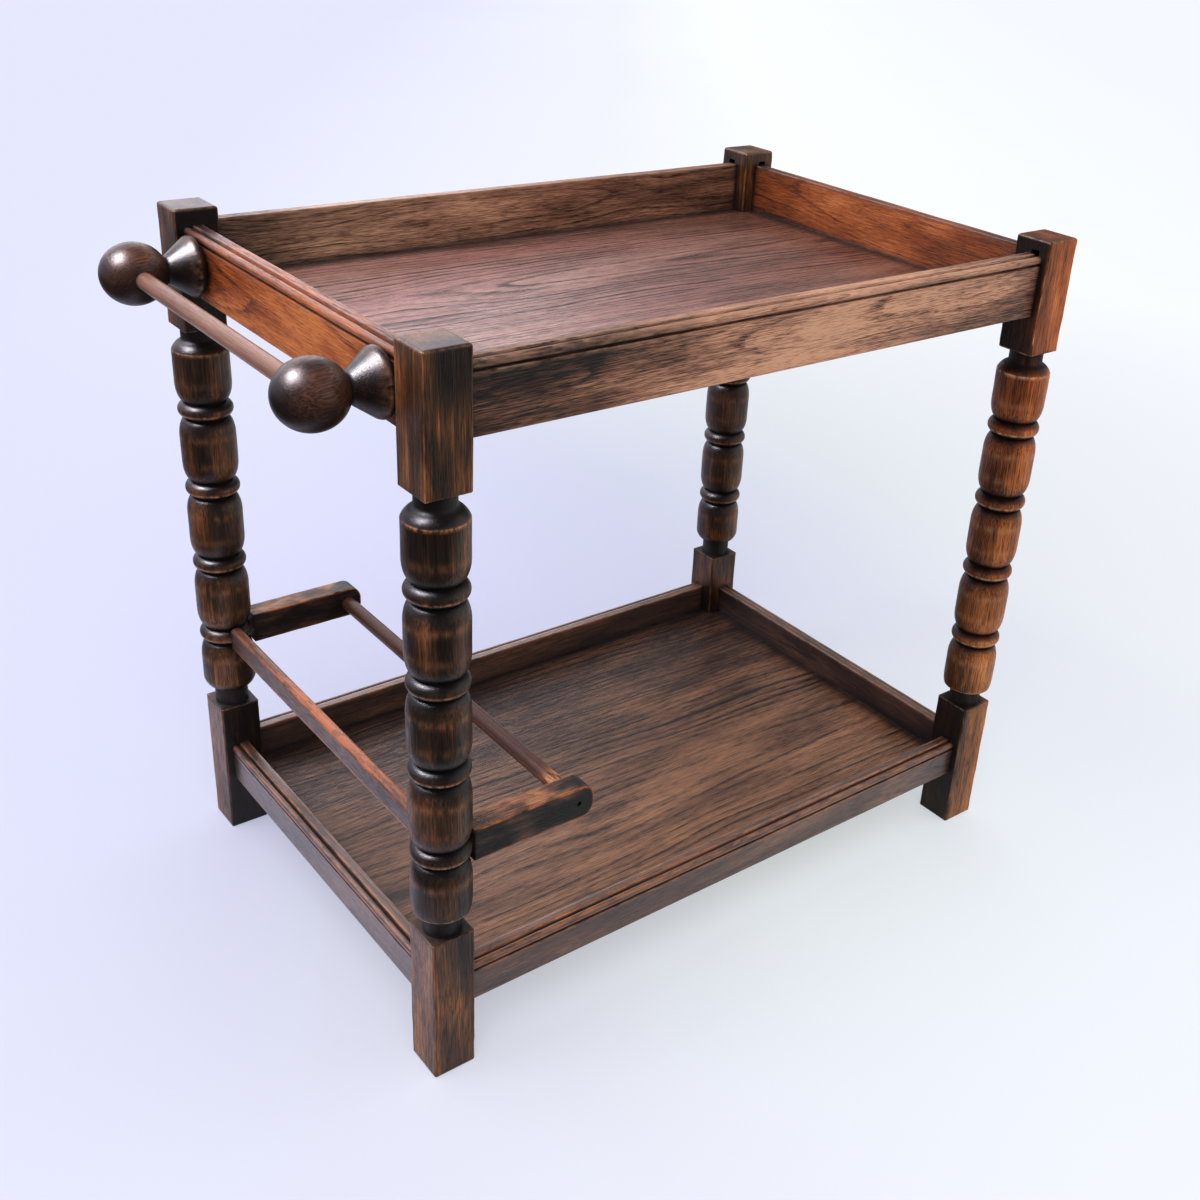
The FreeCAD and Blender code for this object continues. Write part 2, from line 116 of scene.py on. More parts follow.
# Mesh pieces
class Skin:
    """Vertices in mm and faces of one piece, with its marks: wear, grime with painted shade, and end grain.
    """

    def __init__(self):
        self.points, self.marks, self.faces, self.count = [], [], [], 0

    def add(self, points, marks):
        points = np.asarray(points, float).reshape(-1, 3)
        self.points.append(points)
        self.marks.append(np.broadcast_to(np.asarray(marks, float), (len(points), 3)))
        self.count += len(points)
        return self.count - len(points)

    def grid(self, start, rows, columns, skip=()):
        """Quads over closed rows of points, but not those that start at a skipped row and column."""
        for row in range(rows - 1):
            for column in range(columns):
                if (row, column) not in skip:
                    a = start + row * columns + column
                    b = start + row * columns + (column + 1) % columns
                    self.faces.append((a, b, b + columns, a + columns))

    def fan(self, tip, start, columns, flip):
        """Triangles from one point to a closed row."""
        for column in range(columns):
            a, b = start + column, start + (column + 1) % columns
            self.faces.append((tip, a, b) if flip else (tip, b, a))

    def upright(self, grid, marks, columns, tips, tip_marks, skip=()):
        """Closed rows of points round Z, with a fan at each end round a tip at its height on the axis."""
        start = self.add(grid, marks)
        last = self.count - columns
        low, high = (self.add([[0, 0, z]], mark) for z, mark in zip(tips, tip_marks))
        self.grid(start, (last - start) // columns + 1, columns, skip)
        self.fan(low, start, columns, True)
        self.fan(high, last, columns, False)
        return start

    def bar(self, grid, marks, columns):
        """Closed rows of points, with one flat face over the first row and one over the last."""
        start = self.add(grid, marks)
        last = self.count - columns
        self.grid(start, (last - start) // columns + 1, columns)
        for first in (start, last):
            self.faces.append(tuple(range(first, first + columns)))

    def box(self, x_range, y_range, z_range):
        """A plain closed box for a tenon, which stays inside a leg."""
        s = self.add([(x, y, z) for x in x_range for y in y_range for z in z_range], (0, 0, 0))
        for quad in ((0, 1, 3, 2), (4, 6, 7, 5), (0, 4, 5, 1), (2, 3, 7, 6), (0, 2, 6, 4), (1, 5, 7, 3)):
            self.faces.append(tuple(s + k for k in quad))

    def object(self, name, spin, shift, grain=None, sharp=32.0, tone=None):
        """A mesh object. spin and shift place it in the row frame, and grain gives wood coordinates in mm."""
        points = np.concatenate(self.points)
        mesh = bpy.data.meshes.new(name + "_wood")
        mesh.from_pydata(points.tolist(), [], self.faces)
        store(mesh, "grain", grain(points) if grain else points)
        store(mesh, "marks", np.concatenate(self.marks))
        store(mesh, "tone", tone(points) if tone else np.zeros(len(points)))
        mesh.vertices.foreach_set("co", ((points @ spin.T + shift) * MM).astype(np.float32).ravel())
        mesh.update()
        tidy_mesh(mesh, sharp)
        return linked(name + "_wood", mesh)


def linked(name, data):
    """A new object in the scene."""
    made = bpy.data.objects.new(name, data)
    bpy.context.scene.collection.objects.link(made)
    return made


def store(mesh, label, values):
    """Puts a number or a vector on each point of a mesh, for the materials to read."""
    kind, field = ("FLOAT", "value") if values.ndim == 1 else ("FLOAT_VECTOR", "vector")
    attribute = mesh.attributes.get(label) or mesh.attributes.new(label, kind, "POINT")
    attribute.data.foreach_set(field, np.ascontiguousarray(values, np.float32).ravel())


def vectors(data, label):
    """The vectors of some mesh data, one a row."""
    found = np.empty(3 * len(data), np.float32)
    data.foreach_get(label, found)
    return found.reshape(-1, 3).astype(float)


def tidy_mesh(mesh, sharp):
    """Normals outwards, smooth shading, and sharp edges where faces meet at a wide angle."""
    work = bmesh.new()
    work.from_mesh(mesh)
    bmesh.ops.recalc_face_normals(work, faces=work.faces)
    work.to_mesh(mesh)
    work.free()
    mesh.shade_smooth()
    mesh.set_sharp_from_angle(angle=math.radians(sharp))


def dress(piece, nodes, material):
    piece.data.materials.clear()
    piece.data.materials.append(material)
    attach(piece, "root")
    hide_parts(*nodes)


def grain_along(axis, pith, seed, tilt=(0.0, 0.0)):
    """Wood coordinates whose third number runs along the grain, with the pith some mm to the side."""
    order = {"x": (1, 2, 0), "y": (0, 2, 1), "z": (0, 1, 2)}[axis]

    def change(points):
        p = points[:, order]
        return np.column_stack([p[:, :2] + pith + p[:, 2:] * tilt, p[:, 2] + GRAIN_STEP * seed])
    return change


# Outlines
def bend(start, corner, end, count, share=QUARTER):
    """Points of a curve that leaves towards the corner and arrives from it, without its start."""
    s, c, e = (np.array(q, float) for q in (start, corner, end))
    a, b = s + (c - s) * share, e + (c - e) * share
    t = np.linspace(0, 1, count + 1)[1:, None]
    return ((1 - t) ** 3 * s + 3 * (1 - t) ** 2 * t * a + 3 * (1 - t) * t ** 2 * b + t ** 3 * e).tolist()


def fill(outline, step):
    """The outline with more points on its long straight runs."""
    result = [outline[0]]
    for p in outline[1:]:
        q = result[-1]
        pieces = max(1, math.ceil(math.dist(p, q) / step))
        result += [[q[0] + (p[0] - q[0]) * k / pieces, q[1] + (p[1] - q[1]) * k / pieces]
                   for k in range(1, pieces + 1)]
    return result


def end_grain(profile):
    """How far the surface of a turned profile faces along its axis, from 0 to 1."""
    way = np.gradient(profile, axis=0)
    return np.abs(way[:, 0]) / np.maximum(np.hypot(way[:, 0], way[:, 1]), 1e-9)


def turned(skin, profile, marks, segments, seed, uneven):
    """A turned form round Z from a profile of radius and height that starts and ends on the axis."""
    profile = np.array(profile)
    inner = profile[1:-1]
    r, a = np.meshgrid(inner[:, 0], np.linspace(0, 2 * math.pi, segments, endpoint=False), indexing="ij")
    z = np.repeat(inner[:, 1], segments).reshape(r.shape)
    grid = np.stack([r * np.cos(a), r * np.sin(a), z], -1).reshape(-1, 3)
    grid[:, :2] *= (1 - hollows(grid, uneven, 38, seed) / np.maximum(r.reshape(-1), uneven))[:, None]
    skin.upright(grid, np.repeat(marks[1:-1], segments, axis=0), segments, profile[[0, -1], 1],
                 marks[[0, -1]])


def bore(piece, profile, starts, axis, spin, shift, grain, tone, clean=None):
    """Cuts turned holes, of a profile of radius and distance along an axis from each start, out of a piece
    that spin and shift placed. Gives it wood coordinates and tone again, and clean tells which of its
    points carry no marks."""
    along_axis = np.array(Vector(axis).to_track_quat("Z", "Y").to_matrix())
    for start in starts:
        skin = Skin()
        turned(skin, profile, np.tile((0.0, 1.0, 0.0), (len(profile), 1)), 48, 1, 1e-6)
        cutter = skin.object("cutter", along_axis, np.array(start))
        change = piece.modifiers.new("cut", "BOOLEAN")
        change.operation = "DIFFERENCE"
        change.solver = "EXACT"
        change.object = cutter
        bpy.context.view_layer.update()
        result = bpy.data.meshes.new_from_object(piece.evaluated_get(bpy.context.evaluated_depsgraph_get()))
        piece.modifiers.remove(change)
        piece.data = result
        result.name = piece.name
        bpy.data.objects.remove(cutter)
    points = (vectors(result.vertices, "co") / MM - shift) @ spin
    store(result, "grain", grain(points))
    store(result, "tone", tone(points))
    if clean:
        marks = vectors(result.attributes["marks"].data, "vector")
        marks[clean(points)] = 0
        store(result, "marks", marks)


# Legs
def stem_profile(neck, rim):
    """Radius and height of the turned stem, from inside the foot block to inside the head block. The lowest
    barrel starts neck above the foot block, at a rim of the radius rim."""
    low, fillet, lip = FOOT_SQUARE + neck, 0.8, 0.5
    p = [[0, FOOT_SQUARE - STEM_SINK], [NECK_R, FOOT_SQUARE - STEM_SINK], [NECK_R, low - fillet]]
    p += bend(p[-1], (NECK_R, low), (NECK_R + fillet, low), 3)
    p += [[rim, low]] + bend((rim, low), (rim + lip, low), (rim + lip + 0.1, low + lip), 3)
    p += bend(p[-1], (BARREL_R, low + 5), (BARREL_R, low + RIM_RISE), 14)
    edge, crown, full = 0.5, RING_R - 0.12, 0.44
    for middle in RING_HEIGHTS:
        ring_low, ring_high = middle - RING_HALF, middle + RING_HALF
        end, after = ring_low - GROOVE_WIDTH, ring_high + GROOVE_WIDTH
        p.append([BARREL_R, end - BARREL_EASE])
        p += bend(p[-1], (BARREL_R, end), (GROOVE_R, end), 22)
        p.append([GROOVE_R, ring_low])
        p += bend(p[-1], (RING_R, ring_low), (crown, middle - edge), 12, full)
        p += bend(p[-1], (RING_R, middle), (crown, middle + edge), 3)
        p += bend(p[-1], (RING_R, ring_high), (GROOVE_R, ring_high), 12, full)
        p.append([GROOVE_R, after])
        p += bend(p[-1], (BARREL_R, after), (BARREL_R, after + BARREL_EASE), 22)
    p.append([BARREL_R, SHOULDER_START - 0.5])
    p += bend(p[-1], (BARREL_R, SHOULDER_START), (BARREL_R - 0.4, SHOULDER_START + 0.4), 3)
    belly = (BARREL_R + 0.33 * (COVE_R - BARREL_R), SHOULDER_START + 0.7 * (COVE_BOTTOM - SHOULDER_START))
    p += bend(p[-1], belly, (COVE_R, COVE_BOTTOM), 10)
    p += bend(p[-1], (NECK_R, COVE_BOTTOM + 1.6), (NECK_R, NECK_BOTTOM), 8)
    p += [[NECK_R, HEAD_START + STEM_SINK], [0, HEAD_START + STEM_SINK]]
    return np.array(fill(p, 3.0))


def stem_marks(profile, neck, rim):
    """Wear on every edge and belly, grime with painted shade in the grooves and necks, and end grain on the
    shoulders.
    """
    r, z = profile.T
    wear = 0.9 * near(z - SHOULDER_START, 0.9)
    wear += 0.9 * near(np.hypot(r - rim - 0.5, z - FOOT_SQUARE - neck - 0.4), 1.1)
    for middle in RING_HEIGHTS:
        wear += near(z - middle + 3.2, 1.5) * smooth(r, RING_R - 3.5, RING_R - 0.6)
        wear += 0.3 * near(z - middle + 29.0, 4.0) + 0.2 * near(z - middle - 31.0, 4.0)
    # Grooves and necks painted dark: painted shade in the recesses, with some grime.
    grime_and_shade = smooth(GROOVE_R + 4.2 - r, 0, 4.0)
    return np.stack([np.clip(wear, 0, 1), grime_and_shade, smooth(end_grain(profile), 0.22, 0.8)], 1)


def turned_by(spot, quarters):
    """Points turned by so many quarters against the clock, round Z."""
    spot = np.array(spot, float)
    for _ in range(quarters % 4):
        spot = np.stack([-spot[..., 1], spot[..., 0]], -1)
    return spot


def square_section(extra):
    """A leg's square with eased corners, denser near them and with lines at the extra places of a side."""
    flat = LEG_HALF - SIDE_ARRIS
    steps = (0.0, 0.6, 1.3, 2.4, 4.2, 7.0, 11.0, 16.0)
    places = {0.0} | {sign * (flat - step) for step in steps for sign in (-1, 1)}
    corner = [[flat + SIDE_ARRIS * math.cos(a), flat + SIDE_ARRIS * math.sin(a)]
              for a in np.linspace(0, math.pi / 2, 7)]
    result = []
    for quarter in range(4):
        added = extra.get(quarter, [])
        line = [y for y in places if all(abs(y - e) > 0.5 for e in added)] + added
        result.append(turned_by([[LEG_HALF, y] for y in sorted(line)] + corner[1:-1], quarter))
    return np.concatenate(result)


def end_rows(end, way, rounding):
    """From the middle of a leg square's end out over its arris: heights, and how far inside the square."""
    rows = [(end, rounding + (LEG_HALF - rounding) * (1 - share)) for share in (0.03, 0.25, 0.5, 0.72, 0.88)]
    return rows + [(end + way * rounding * (1 - math.cos(a)), rounding * (1 - math.sin(a)))
                   for a in np.linspace(0, math.pi / 2, 6)]


def block_rows(bottom, top, low_round, high_round, wanted):
    """Heights of a leg square's rows of points, and how far each lies inside the square."""
    close = (0.8, 2.0, 4.0)
    inner = [bottom + low_round + s for s in close] + [top - high_round - s for s in close]
    inner += list(np.arange(bottom + 8, top - 7, 4.0))
    inner = [z for z in inner if all(abs(z - w) > 0.7 for w in wanted)] + list(wanted)
    rows = end_rows(bottom, 1, low_round) + [(z, 0.0) for z in sorted(set(inner))]
    return np.array(rows + end_rows(top, -1, high_round)[::-1]).T


def leg_block(skin, bottom, top, low_round, high_round, neck_end, slots, joints, seed):
    """A leg square. slots are open mortise ends, given as (side, low, high), and joints are the low and
    high corners of the boxes where rails meet it."""
    extra = {side: [low, high] for side, low, high in slots}
    section = square_section(extra)
    columns = len(section)
    heights, insets = block_rows(bottom, top, low_round, high_round, (SLOT_LOW, SLOT_HIGH) if slots else ())
    xy = section[None] * (1 - insets / LEG_HALF)[:, None, None]
    z = np.repeat(heights, columns).reshape(len(heights), columns)
    grid = np.concatenate([xy, z[..., None]], -1).reshape(-1, 3)
    # The arrises were eased by hand, so they lose a little more wood here and there
    corner = np.abs(grid[:, :2]).min(1) / LEG_HALF
    bite = smooth(corner, 0.90, 0.985) * (0.35 + 0.35 * waves(grid, 26, seed + 5))
    grid[:, :2] *= (1 - np.clip(bite, 0, 1.2) / LEG_HALF)[:, None]
    grid[:, :2] *= (1 - hollows(grid, 0.2, 60, seed) / LEG_HALF)[:, None]
    x, y, z = grid.T
    to_rim = np.minimum(z - bottom, top - z)
    gaps = np.sort(np.stack([LEG_HALF - np.abs(x), LEG_HALF - np.abs(y), np.abs(to_rim)], 1), axis=1)
    wear = near(np.clip(gaps[:, 1] - 0.3, 0, None), 0.9)
    if bottom == 0:
        wear *= 0.5 * smooth(z, 4, 30)
    # The top face's end grain is darkened less: its polish, with a painted sheen.
    polish_and_sheen_share = 0.28
    flat_end = smooth(-to_rim, -0.9, -0.1) * np.where(z > top - 2, polish_and_sheen_share, 1.0)
    # Darker round the neck and where the rails meet the square: dirt in the joints with painted shade.
    grime_and_shade = near(np.hypot(np.hypot(x, y) - NECK_R, 3 * (z - neck_end)), 8.0)
    for low, high in joints:
        gap = np.linalg.norm(np.maximum(np.maximum(low - grid, grid - high), 0), axis=1)
        grime_and_shade = np.maximum(grime_and_shade, near(gap, 2.6))
    loops = []
    hidden = set()
    up = [k for k in range(len(heights)) if SLOT_LOW - 0.01 < heights[k] < SLOT_HIGH + 0.01]
    for side, low, high in slots:
        across = [k for k, spot in enumerate(turned_by(section, 4 - side))
                  if spot[0] > LEG_HALF - 0.01 and low - 0.01 < spot[1] < high + 0.01]
        hidden |= {(r, c) for r in up[:-1] for c in across[:-1]}
        loop = [(up[0], c) for c in across] + [(r, across[-1]) for r in up[1:]]
        loop += [(up[-1], c) for c in reversed(across[:-1])] + [(r, across[0]) for r in reversed(up[1:-1])]
        loops.append((side, [r * columns + c for r, c in loop]))
    start = skin.upright(grid, np.stack([wear, grime_and_shade, flat_end], 1), columns, (bottom, top),
                         ((0, 0, 1), (0, 0, polish_and_sheen_share)), hidden)
    for side, loop in loops:
        pocket(skin, grid[loop], [start + k for k in loop], side)


def pocket(skin, rim, rim_numbers, side):
    """The walls and end of an open mortise end behind a rim of a leg square."""
    before = rim_numbers
    for depth in (0.4, 3.0, SLOT_DEPTH):
        points = rim.copy()
        points[:, :2] += turned_by([-depth, 0.0], side)
        first = skin.add(points, (0, 1, 0.5))
        here = list(range(first, first + len(rim)))
        for k in range(len(rim)):
            m = (k + 1) % len(rim)
            skin.faces.append((before[k], before[m], here[m], here[k]))
        before = here
    skin.faces.append(tuple(before))


def toned(block, stem, way, lit_side_swing, stem_lit_side_swing=0.05, smudges_and_light=()):
    """A leg's tones: its squares, its turned stem, how much lighter the side of either is that way points
    to, as painted light and shade, and patches of dirt, painted shade and painted sheen given as (x, y, z,
    radius, amount)."""
    unit = np.array(way, float) / np.linalg.norm(way)

    def shade(points):
        xy, z = points[:, :2], points[:, 2]
        flat = xy / np.maximum(np.abs(xy).max(1), 1e-6)[:, None]
        turned_part = (z > FOOT_SQUARE) & (z < HEAD_START)
        # Painted light: the side facing way is lighter and the opposite side darker, the top face left out.
        facing = np.clip(flat ** 5 @ unit, -1, 1) * (1 - smooth(z, CART_HEIGHT - 2.5, CART_HEIGHT - 0.5))
        # Painted shade: the thin parts of the stem, its necks and grooves, are darker.
        girth_shade = 0.2 * smooth(np.hypot(*xy.T), NECK_R + 4, BARREL_R) - 0.14
        shown = np.where(turned_part, stem + stem_lit_side_swing * facing + girth_shade, block + lit_side_swing * facing)
        # Painted sheen: the top face is lighter.
        shown = shown + 0.14 * smooth(z, CART_HEIGHT - 1, CART_HEIGHT - 0.2)
        # Patches: darker ones are dirt and painted shade by the joints, lighter ones a painted sheen.
        for *spot, reach, amount in smudges_and_light:
            shown = shown + amount * near(np.linalg.norm((points - spot) * (1, 1, 0.6), axis=1), reach)
        return shown
    return shade


def across_leg(side, start, width):
    """A stretch across a leg from start, measured from its middle away from the cart's outer face."""
    return sorted((-side * start, -side * (start + width)))


def leg(name, side_x, side_y, seed, material, tone, neck, rim):
    """side_x and side_y are -1 or 1: which end and which long side of the cart. neck is the gap between
    the foot block and the lowest barrel, and rim that barrel's lower radius: the turner varied both."""
    skin = Skin()
    profile = stem_profile(neck, rim)
    turned(skin, profile, stem_marks(profile, neck, rim), 72, seed, 0.22)
    rail_start = RAIL_SET_BACK - LEG_HALF
    face_x, face_y = (across_leg(side, LEG_HALF - 1, 2) for side in (side_x, side_y))
    rail_x, rail_y = (across_leg(side, rail_start, RAIL_T) for side in (side_x, side_y))
    tenon_x, tenon_y = (across_leg(side, rail_start + TENON_INSET, TENON_T) for side in (side_x, side_y))
    top_joints, low_joints = (
        [np.array([x, y, (top - height, top)]).T for x, y in ((face_x, rail_y), (rail_x, face_y))]
        for top, height in ((TOP_RAIL_TOP, TOP_RAIL_H), (LOWER_RAIL_TOP, LOWER_RAIL_H)))
    # Sides are counted from +X against the clock, and places on a side are measured that way too
    slots = [(0, *tenon_y) if side_x < 0 else (2, -tenon_y[1], -tenon_y[0])]
    # The slot over the left rail's back end is closed flush with the rail
    if (side_x, side_y) != (-1, 1):
        slots.append((3, *tenon_x) if side_y > 0 else (1, -tenon_x[1], -tenon_x[0]))
    leg_block(skin, 0, FOOT_SQUARE, FOOT_ROUND, SQUARE_ARRIS, FOOT_SQUARE, [], low_joints, seed)
    leg_block(skin, HEAD_START, CART_HEIGHT, SQUARE_ARRIS, HEAD_ROUND, HEAD_START, slots, top_joints,
              seed + 3)
    rng = np.random.default_rng(seed)
    pith = (rng.uniform(14, 34) * rng.choice([-1, 1]), rng.uniform(16, 40) * rng.choice([-1, 1]))
    made = skin.object(name, UPRIGHT, np.array([MIDDLE_X + side_x * LEG_X, side_y * LEG_Y, 0]),
                       grain_along("z", pith, seed, (0.012, -0.01)), tone=tone)
    dress(made, [name], material)


# Rails
def rail_outline(height):
    """Section of a rail, its inner face at 0 across and its top at 0 up, with every arris eased."""
    face, bead_low = RAIL_T - FACE_BACK, -BEAD_TOP - 2 * BEAD_R
    p = [[0, BOARD_T - height], [0, -RAIL_ARRIS]]
    p += bend(p[-1], (0, 0), (RAIL_ARRIS, 0), 5)
    p += [[FLAT_END, 0]]
    p += bend(p[-1], (FLAT_END + 0.5, 0), (FLAT_END + 0.7, -0.7), 3)
    p += [[QUIRK_T, -QUIRK_DEPTH]]
    p += bend(p[-1], (QUIRK_T + 0.2, -QUIRK_DEPTH - 0.5), (QUIRK_T + 0.25, -QUIRK_DEPTH + 0.1), 2)
    p += bend(p[-1], (QUIRK_T + 0.3, -BEAD_TOP), (BEAD_T, -BEAD_TOP), 8)
    p += bend(p[-1], (RAIL_T, -BEAD_TOP), (RAIL_T, -BEAD_TOP - BEAD_R), 8)
    p += bend(p[-1], (RAIL_T, bead_low), (BEAD_T + 0.2, bead_low), 8)
    p += [[STEP_T, bead_low - 0.1], [STEP_T, -STEP_DEPTH], [face - 0.5, -STEP_DEPTH]]
    p += bend(p[-1], (face, -STEP_DEPTH), (face, -STEP_DEPTH - 0.6), 3)
    p += [[face, RAIL_ARRIS - height]]
    p += bend(p[-1], (face, -height), (face - RAIL_ARRIS, -height), 5)
    p += [[REBATE, -height], [REBATE, BOARD_T - height], [0, BOARD_T - height]]
    return np.array(fill(p, 3.2)[:-1])


def along(stops, top=0.0):
    """A rail's tone from its left end to its right end, seen from outside, partly the wood's own and partly
    painted light and shade, and more or less on its top.
    """
    places = np.linspace(-1, 1, len(stops))

    def shade(points):
        share = -points[:, 0] / np.abs(points[:, 0]).max()
        shown = np.interp(share, places, stops) + 0.07 * waves(points * (0.4, 1, 1), 60, 8)
        return shown + top * smooth(points[:, 2], -3, -0.5)
    return shade


def spots(a, u, places):
    """Marks on a section round places given as (strength, across, up, width)."""
    return sum(strength * near(np.hypot(a - x, u - y), width) for strength, x, y, width in places)


def rail(name, side, top, height, seed, material, tone, screws=()):
    """side is front, back, left or right. screws are the Y of countersunk holes from inside the tray."""
    skin = Skin()
    section = rail_outline(height)
    a, u = section.T
    length = (CART_WIDTH if side in ("left", "right") else CART_LENGTH) - 2 * LEG_SQUARE
    ends = [0, 0.5, 1.5, 3, 5, 8]
    middle = np.linspace(12, length - 12, round((length - 24) / 5) + 1)
    stations = np.array(ends + list(middle) + [length - e for e in reversed(ends)]) - length / 2
    wear = spots(a, u, [(0.85, 0.3, -0.3, 1.3), (1.0, 10.2, -0.2, 1.3), (0.8, 17.6, -2.2, 2.2),
                        (0.55, 19.6, -6.5, 2.0), (0.7, 18.9, -11.3, 0.9), (0.3, 18.8, -height, 1.2)])
    # Darker in the quirk and under the bead: painted shade; darker where the board meets the rail: dirt in
    # the joint.
    grime_and_shade = spots(a, u, [(0.8, 15.4, -10.2, 1.7), (0.8, 0.0, BOARD_T - height, 4.0)])
    grime_and_shade += near(np.hypot(a - QUIRK_T, (u + 4.2) * 0.5), 0.9)
    x = np.repeat(stations, len(section))
    grid = np.column_stack([x, np.tile(section, (len(stations), 1))])
    marks = np.tile(np.clip(np.column_stack([wear, grime_and_shade, 0 * wear]), 0, 1), (len(stations), 1))
    to_end = length / 2 - np.abs(x)
    close = near(to_end, 3.0)
    marks[:, 1] = np.maximum(marks[:, 1], 0.9 * close)
    marks[:, 0] *= 1 - 0.8 * close
    # Uneven by a fraction of a millimetre, always inwards
    free = smooth(to_end, 0, 6)
    outer = smooth(grid[:, 1], 2, 17)
    over_board = grid[:, 2] > BOARD_T + 1 - height
    grid[:, 1] += hollows(grid * (0.25, 1, 1), 0.26, 22, seed) * free * (1 - 2 * outer) * over_board
    upper = smooth(grid[:, 2], -14, -2)
    grid[:, 2] -= hollows(grid * (0.3, 1, 1), 0.28, 30, seed + 1) * free * upper
    skin.bar(grid, marks, len(section))
    for end in (-1, 1):
        skin.box(sorted((end * (length / 2 - 0.2), end * (length / 2 + TENON_LENGTH))),
                 (TENON_INSET, TENON_INSET + TENON_T), (TENON_BOTTOM - height, -TENON_TOP))
    turn = {"back": 0, "left": 90, "front": 180, "right": -90}[side]
    reach = TRAY_X if side in ("left", "right") else TRAY_Y
    spin = np.array(Matrix.Rotation(math.radians(turn), 3, "Z"))
    shift = np.array([MIDDLE_X, 0, top]) + spin @ np.array([0, reach, 0])
    rng = np.random.default_rng(seed + 40)
    pith = (rng.uniform(18, 30), rng.uniform(-10, 40))
    grain = grain_along("x", pith, seed, (rng.uniform(-0.05, 0.05), rng.uniform(-0.02, 0.02)))
    made = skin.object(name, spin, shift, grain, tone=tone)
    if screws:
        hole = [[0, -1], [SINK_R + 0.25, -1], [SINK_R, 0], [SCREW_HOLE_R, SINK_DEPTH],
                [SCREW_HOLE_R, SCREW_HOLE_DEPTH], [0, SCREW_HOLE_DEPTH]]
        bore(made, hole, [(MIDDLE_X - TRAY_X, y, HANDLE_Z) for y in screws], (-1, 0, 0), spin, shift, grain,
             tone)
    dress(made, [name], material)


# Push handle
def knob_profile():
    """Radius and distance from the rail: a flared foot, a neck and a ball."""
    p = [[0, 0], [CONE_FOOT_R - 0.4, 0], [CONE_FOOT_R, 0.4], [CONE_FOOT_R, 1.6]]
    p += bend(p[-1], (CONE_R, 1.6), (CONE_R, 6.6), 14)
    p += bend(p[-1], (CONE_R, 9), (CONE_R - 2.4 * CONE_SLOPE, 11.4), 8)
    p.append([KNOB_NECK_R + 1.2, KNOB_NECK_D - 1.2 / CONE_SLOPE])
    near_end, far_end = BALL_X - BALL_HALF, BALL_X + BALL_HALF
    ball = [q for q in bend((0, near_end), (BALL_R, near_end), (BALL_R, BALL_X), 40) if q[0] > 13.6]
    p += bend(p[-1], (12.0, 34.0), ball[0], 8)
    p += ball[1:]
    p += bend(p[-1], (BALL_R, far_end), (0, far_end), 40)
    return np.array(fill(p, 2.4))


def knob(name, side, seed, material):
    skin = Skin()
    profile = knob_profile()
    r, d = profile.T
    wear = 0.35 * near(np.hypot(r - 29.4, d - 9.5), 1.6) + 0.2 * near(d - 13, 4) * (r > 20)
    # Darker at the foot against the rail and in the neck: dirt with painted shade.
    grime_and_shade = np.maximum(0.95 * (1 - smooth(d, 1.5, 6.5)) * (d < 9), near(d - 34, 2.6) * (r < 16))
    facing = end_grain(profile)
    end = np.where(d > 36, 0.35 * smooth(facing, 0.6, 1), 0.25 * smooth(facing, 0.3, 1))
    turned(skin, profile, np.stack([wear, grime_and_shade, end], 1), 112, seed, 0.16)
    origin = np.array([KNOB_FOOT_X, side * KNOB_Y, HANDLE_Z])
    spin = np.array([[0, 0, -1], [0, 1, 0], [1, 0, 0]], float)
    grain = grain_along("z", (46, -30) if side < 0 else (-52, 18), seed, (0.05, 0.08))

    def tone(points):
        """Painted light and shade: lighter on top and darker underneath, and darker on the foot than on the
        ball.
        """
        return 0.28 * points[:, 0] / BALL_R - 0.06 - 0.2 * (points[:, 2] < 36)

    made = skin.object(name, spin, origin, grain, 40)
    socket = [[0, 0], [ROD_R + SOCKET_GAP, 0], [ROD_R + SOCKET_GAP, SOCKET_CUT], [0, SOCKET_CUT]]
    bore(made, socket, [(KNOB_FOOT_X - BALL_X, side * HANDLE_HALF, HANDLE_Z)], (0, -side, 0), spin, origin,
         grain, tone)
    tidy_mesh(made.data, 40)
    dress(made, [name], material)


def rod(name, x, z, half, worn_end, seed, material, shade):
    """A smooth rod along Y, with its ends chamfered inside their sockets."""
    skin = Skin()
    p = [[0, -half], [ROD_R - ROD_CHAMFER, -half], [ROD_R, ROD_CHAMFER - half]]
    profile = np.array(fill(p + [[r, -d] for r, d in reversed(p)], 3.0))
    d = profile[:, 1]
    if worn_end:
        wear, grime_and_shade = near(np.abs(d) - half + 27, 13) * (d < 0), 0.8 * near(np.abs(d) - half + 15.5, 1.6)
    else:
        wear, grime_and_shade = 0 * d, 0.6 * near(np.abs(d) - 156.4, 2)
    turned(skin, profile, np.stack([wear, grime_and_shade, 0 * d], 1), 56, seed, 0.08)
    made = skin.object(name, np.array(Matrix.Rotation(math.radians(-90), 3, "X")), np.array([x, 0, z]),
                       grain_along("z", (26, 12), seed), tone=lambda q: np.full(len(q), shade))
    dress(made, [name], material)


